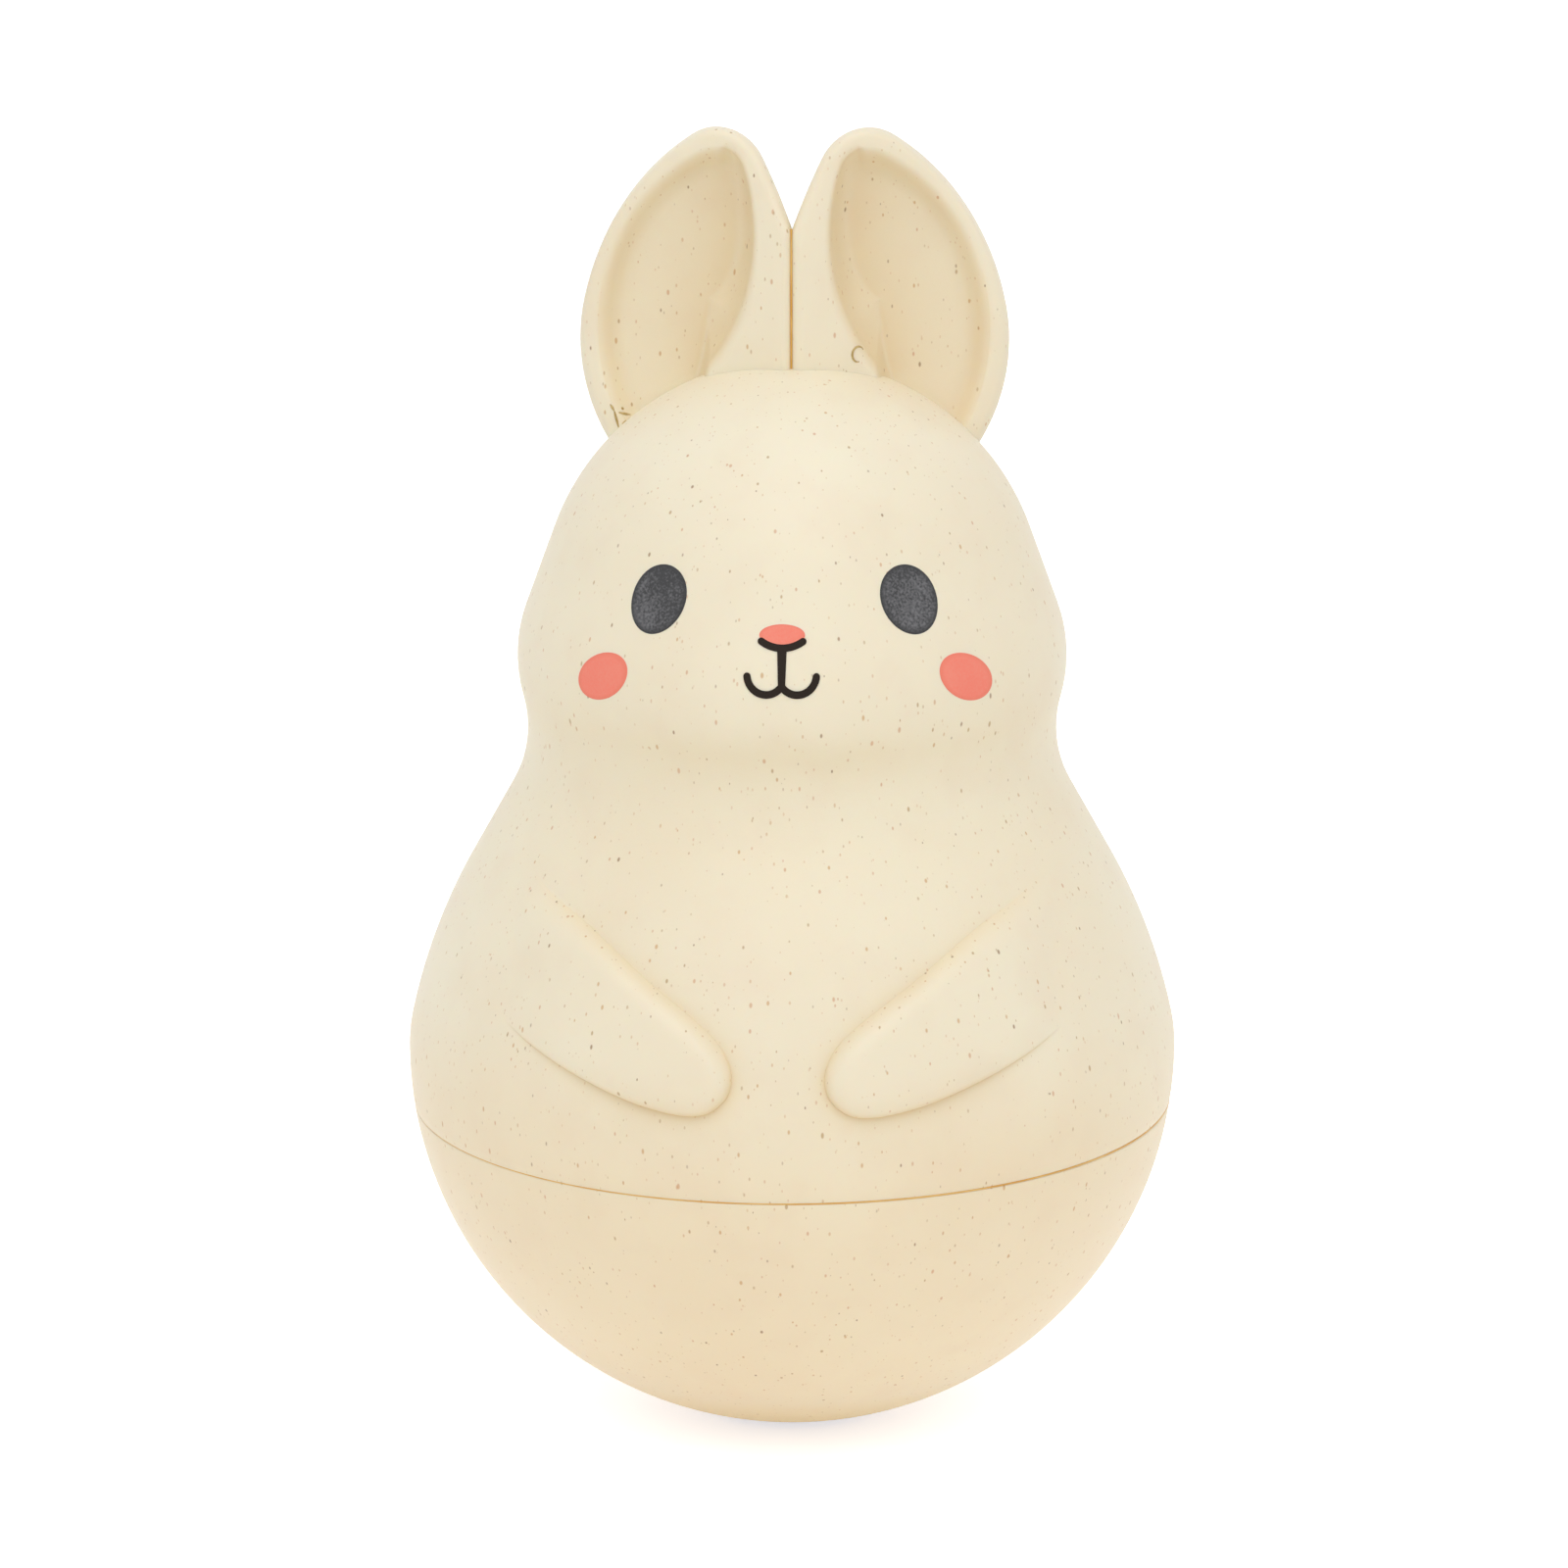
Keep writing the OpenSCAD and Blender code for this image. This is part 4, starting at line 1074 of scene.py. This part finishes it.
def pad_ink(name, film, thin, edge, thin_share):
    """A printed ink: the film's colour, where it is thin, and at its edge."""
    ink, tree, place = new_finish(name)
    grain = add_node(tree, "TexNoise", {"Vector": place, "Scale": per_mm(PINHOLE_MM), "Detail": 3})
    wetting = add_node(tree, "TexNoise", {"Vector": place, "Scale": per_mm(WETTING_MM), "Detail": 1})
    film_depth = add_node(tree, "Mix", {
        "Factor": 0.6, "A": wetting.outputs["Fac"], "B": grain.outputs["Fac"]})
    holes = add_node(tree, "MapRange", {
        "Value": film_depth.outputs[0], "From Min": 0.42, "From Max": 0.62, "To Max": thin_share})
    rim = add_node(tree, "Attribute", {}, attribute_name="rim")
    fuller = add_node(tree, "MapRange", {"Value": rim.outputs["Fac"], "From Min": 0.8, "From Max": 0.98})
    tone = add_node(tree, "Mix", {MIX_SHARE: holes.outputs[0], MIX_FROM: linear(film), MIX_TO: linear(thin)},
                    data_type="RGBA").outputs[MIX_RESULT]
    colour = add_node(tree, "Mix", {MIX_SHARE: fuller.outputs[0], MIX_FROM: tone, MIX_TO: linear(edge)},
                      data_type="RGBA").outputs[MIX_RESULT]
    relief = add_node(tree, "Bump", {"Height": grain.outputs["Fac"], "Strength": 0.2,
                                     "Distance": FILM_RELIEF * MM})
    shader = add_node(tree, "BsdfPrincipled", {"Base Color": colour, "Roughness": 0.55,
                                               "Specular IOR Level": 0.2, "Normal": relief.outputs[0]})
    add_node(tree, "OutputMaterial", {"Surface": shader.outputs[0]})
    return ink


charcoal = pad_ink("charcoal_pad_ink", "#454547", "#77777A", "#3E3E40", 0.9)
coral = pad_ink("coral_pad_ink", "#F88876", "#F69884", "#F28470", 0.5)
black = pad_ink("black_pad_ink", "#20160E", "#2A2018", "#20160E", 0.4)
INKS = {
    "left_eye": (charcoal, "grey_ink"), "right_eye": (charcoal, "grey_ink"),
    "left_cheek": (coral, "coral_ink"), "right_cheek": (coral, "coral_ink"), "nose": (coral, "coral_ink"),
    "mouth": (black, "black_ink"),
}
for node, (ink, slot) in INKS.items():
    prints[node].data.materials.append(ink)
print("inks on", len(INKS), "prints")

# %% [markdown]
# ## Finishes of the pieces inside
# The clamp, the chime and the weight keep their CAD shapes, which are what a toolmaker would make. They are
# sealed in, and are seen only when somebody opens the part, but they still get the finish of their material:
# white ABS, zinc-plated screws and pins, bright drawn rods, a cast weight and a turned beech ball.

# %% Inner finishes
# Finish name, two tones, feature size in mm and its stretch, metallic, roughness, relief in mm, CAD nodes
INNER = (
    ("abs_moulded", "#EDECE8", "#F3F2EF", 0.8, (1, 1, 1), 0, 0.45, 0.02,
     ("ear_clamp", "chime_base", "chime_bridge", "clapper_link", "clapper_arm")),
    ("zinc_plated_steel", "#AEB2B5", "#C6C9CC", 0.5, (1, 1, 1), 1, 0.35, 0.01,
     ("ear_screws", "base_screws", "bridge_screws", "hanger_pin", "clapper_pin")),
    ("drawn_nickel_plated_steel", "#C9C5BC", "#D8D5CE", 0.3, (1, 1, 0.05), 1, 0.22, 0.008,
     ("chime_rod_1", "chime_rod_2", "chime_rod_3", "chime_rod_4")),
    ("cast_iron_raw", "#4A4846", "#5E5B58", 1.2, (1, 1, 1), 1, 0.6, 0.15, ("counterweight",)),
    ("beech_turned", "#C99E6B", "#DDB98A", 0.7, (1, 1, 0.12), 0, 0.5, 0.03, ("clapper_ball",)),
)
for name, low, high, size, stretch, metallic, roughness, relief_mm, nodes in INNER:
    finish, tree, place = new_finish(name)
    laid = add_node(tree, "Mapping", {"Vector": place, "Scale": stretch})
    grain = add_node(tree, "TexNoise", {"Vector": laid.outputs[0], "Scale": per_mm(size), "Detail": 4})
    tones = add_node(tree, "ValToRGB", {"Fac": grain.outputs["Fac"]}, ((0.35, low), (0.65, high)))
    relief = add_node(tree, "Bump", {"Height": grain.outputs["Fac"], "Strength": 0.5,
                                     "Distance": relief_mm * MM})
    shader = add_node(tree, "BsdfPrincipled", {"Base Color": tones.outputs[0], "Metallic": metallic,
                                               "Roughness": roughness, "Normal": relief.outputs[0]})
    add_node(tree, "OutputMaterial", {"Surface": shader.outputs[0]})
    for node in nodes:
        for slot in frame["nodes"][node].material_slots:
            slot.material = finish
    print(f"{name}: {len(nodes)} nodes")

# %% [markdown]
# ## Studio
# The photograph shows the toy in even, soft light on pure white. The floor is pale and diffuse, so it keeps
# the shadow and throws warm light back under the bowl. A little light of its own, which only camera and
# mirror rays see, lifts it to white, and the toy gets no more light from it. A cream toy clips easily, so
# the lamps stay at a level at which a colour comes out about as it is written. Four soft lamps stand round
# the toy, and a weak one in the table under it keeps the bowl as light as a light table does.

# %% Floor and world
FLOOR_SIZE = 12
PAPER_TONES = ((0, "#F6F3EC"), (1, "#FAF8F3"))
PAPER_MM = 3
GLOW = "#EDF2FF"
GLOW_SHARE = 0.66
mesh = bpy.data.meshes.new("studio_floor")
half = FLOOR_SIZE / 2
mesh.from_pydata([(-half, -half, 0), (half, -half, 0), (half, half, 0), (-half, half, 0)], [], [(0, 1, 2, 3)])
floor = bpy.data.objects.new("studio_floor", mesh)
bpy.context.scene.collection.objects.link(floor)


def seen_directly(tree):
    """1 for rays from the camera, from mirrors and through glass, and 0 for the light on the toy."""
    path = add_node(tree, "LightPath", {})
    mirrored = add_node(tree, "Math", {0: path.outputs["Is Camera Ray"], 1: path.outputs["Is Glossy Ray"]},
                        operation="MAXIMUM")
    return add_node(tree, "Math", {0: mirrored.outputs[0], 1: path.outputs["Is Transmission Ray"]},
                    operation="MAXIMUM").outputs[0]


paper, tree, place = new_finish("studio_paper")
fibre = add_node(tree, "TexNoise", {"Vector": place, "Scale": per_mm(PAPER_MM), "Detail": 3})
tones = add_node(tree, "ValToRGB", {"Fac": fibre.outputs["Fac"]}, PAPER_TONES)
matt = add_node(tree, "BsdfDiffuse", {"Color": tones.outputs[0]})
lift_share = add_node(tree, "Math", {0: seen_directly(tree), 1: GLOW_SHARE}, operation="MULTIPLY")
glow = add_node(tree, "Emission", {"Color": linear(GLOW), "Strength": lift_share.outputs[0]})
lit_paper = add_node(tree, "AddShader", {0: matt.outputs[0], 1: glow.outputs[0]})
add_node(tree, "OutputMaterial", {"Surface": lit_paper.outputs[0]})
mesh.materials.append(paper)

AMBIENT = 0.69
world = bpy.data.worlds.new("studio")
bpy.context.scene.world = world
world.use_nodes = True
tree = world.node_tree
tree.nodes.clear()
ambient = add_node(tree, "MapRange", {"Value": seen_directly(tree), "To Min": AMBIENT})
sky = add_node(tree, "Background", {"Color": (1, 1, 1, 1), "Strength": ambient.outputs[0]})
add_node(tree, "OutputWorld", {"Surface": sky.outputs[0]})
print("floor and world ready")

# %% Lamps
AIM = Vector((0, 0, 81.16)) * MM


def softbox(name, place, size, power):
    """A square soft lamp that faces the toy."""
    lamp = bpy.data.lights.new(name, "AREA")
    lamp.size = size
    lamp.energy = power
    holder = bpy.data.objects.new(name, lamp)
    holder.location = place
    holder.rotation_euler = (AIM - holder.location).to_track_quat("-Z", "Y").to_euler()
    holder.visible_camera = False
    bpy.context.scene.collection.objects.link(holder)


# Name, place and size in metres, and power in watts
LAMPS = (
    ("top_lamp", (0, -0.25, 1.5), 0.9, 1.9),
    ("key_lamp", (0, -0.8, 1.2), 0.9, 4.1),
    ("right_lamp", (1.1, -0.6, 0.35), 0.9, 0.6),
    ("left_lamp", (-1.1, -0.6, 0.35), 0.9, 0.25),
    ("table_lamp", (0, 0, 0.001), 0.22, 0.012),
)
for lamp in LAMPS:
    softbox(*lamp)
print("lamps:", ", ".join(lamp[0] for lamp in LAMPS))

# %% [markdown]
# ## Camera
# The photograph looks at the toy from a little above through a long lens, so the seam is a flat ellipse, and
# the near side is hardly larger than the far one. A camera placed by eye drifts with every try. Here it
# stands on a line through the toy's middle, whose angle down and turn were fitted to the seam's ellipse and
# to the places of the prints. A small shift of the lens puts the toy where the picture has it.

# %% Camera
RANGE = 0.9
TURN = math.radians(2.1)
DOWN = math.radians(14)
LENS = 167.67
SENSOR = 36
# The picture is 1600 pixels wide and high, and the toy stands this many pixels off its middle
IMAGE = 1600
OFF_MIDDLE = (-8.3, -10)
camera = bpy.data.cameras.new("photo_camera")
camera.lens = LENS
camera.sensor_width = SENSOR
camera.shift_x = OFF_MIDDLE[0] / IMAGE
camera.shift_y = OFF_MIDDLE[1] / IMAGE
holder = bpy.data.objects.new("photo_camera", camera)
away = Vector((math.cos(DOWN) * math.sin(TURN), -math.cos(DOWN) * math.cos(TURN), math.sin(DOWN)))
holder.location = AIM + RANGE * away
holder.rotation_euler = (-away).to_track_quat("-Z", "Y").to_euler()
bpy.context.scene.collection.objects.link(holder)
bpy.context.scene.camera = holder
bpy.context.scene.view_settings.view_transform = "Standard"
print(f"camera {RANGE} m away, {math.degrees(DOWN):.0f} degrees above the toy")
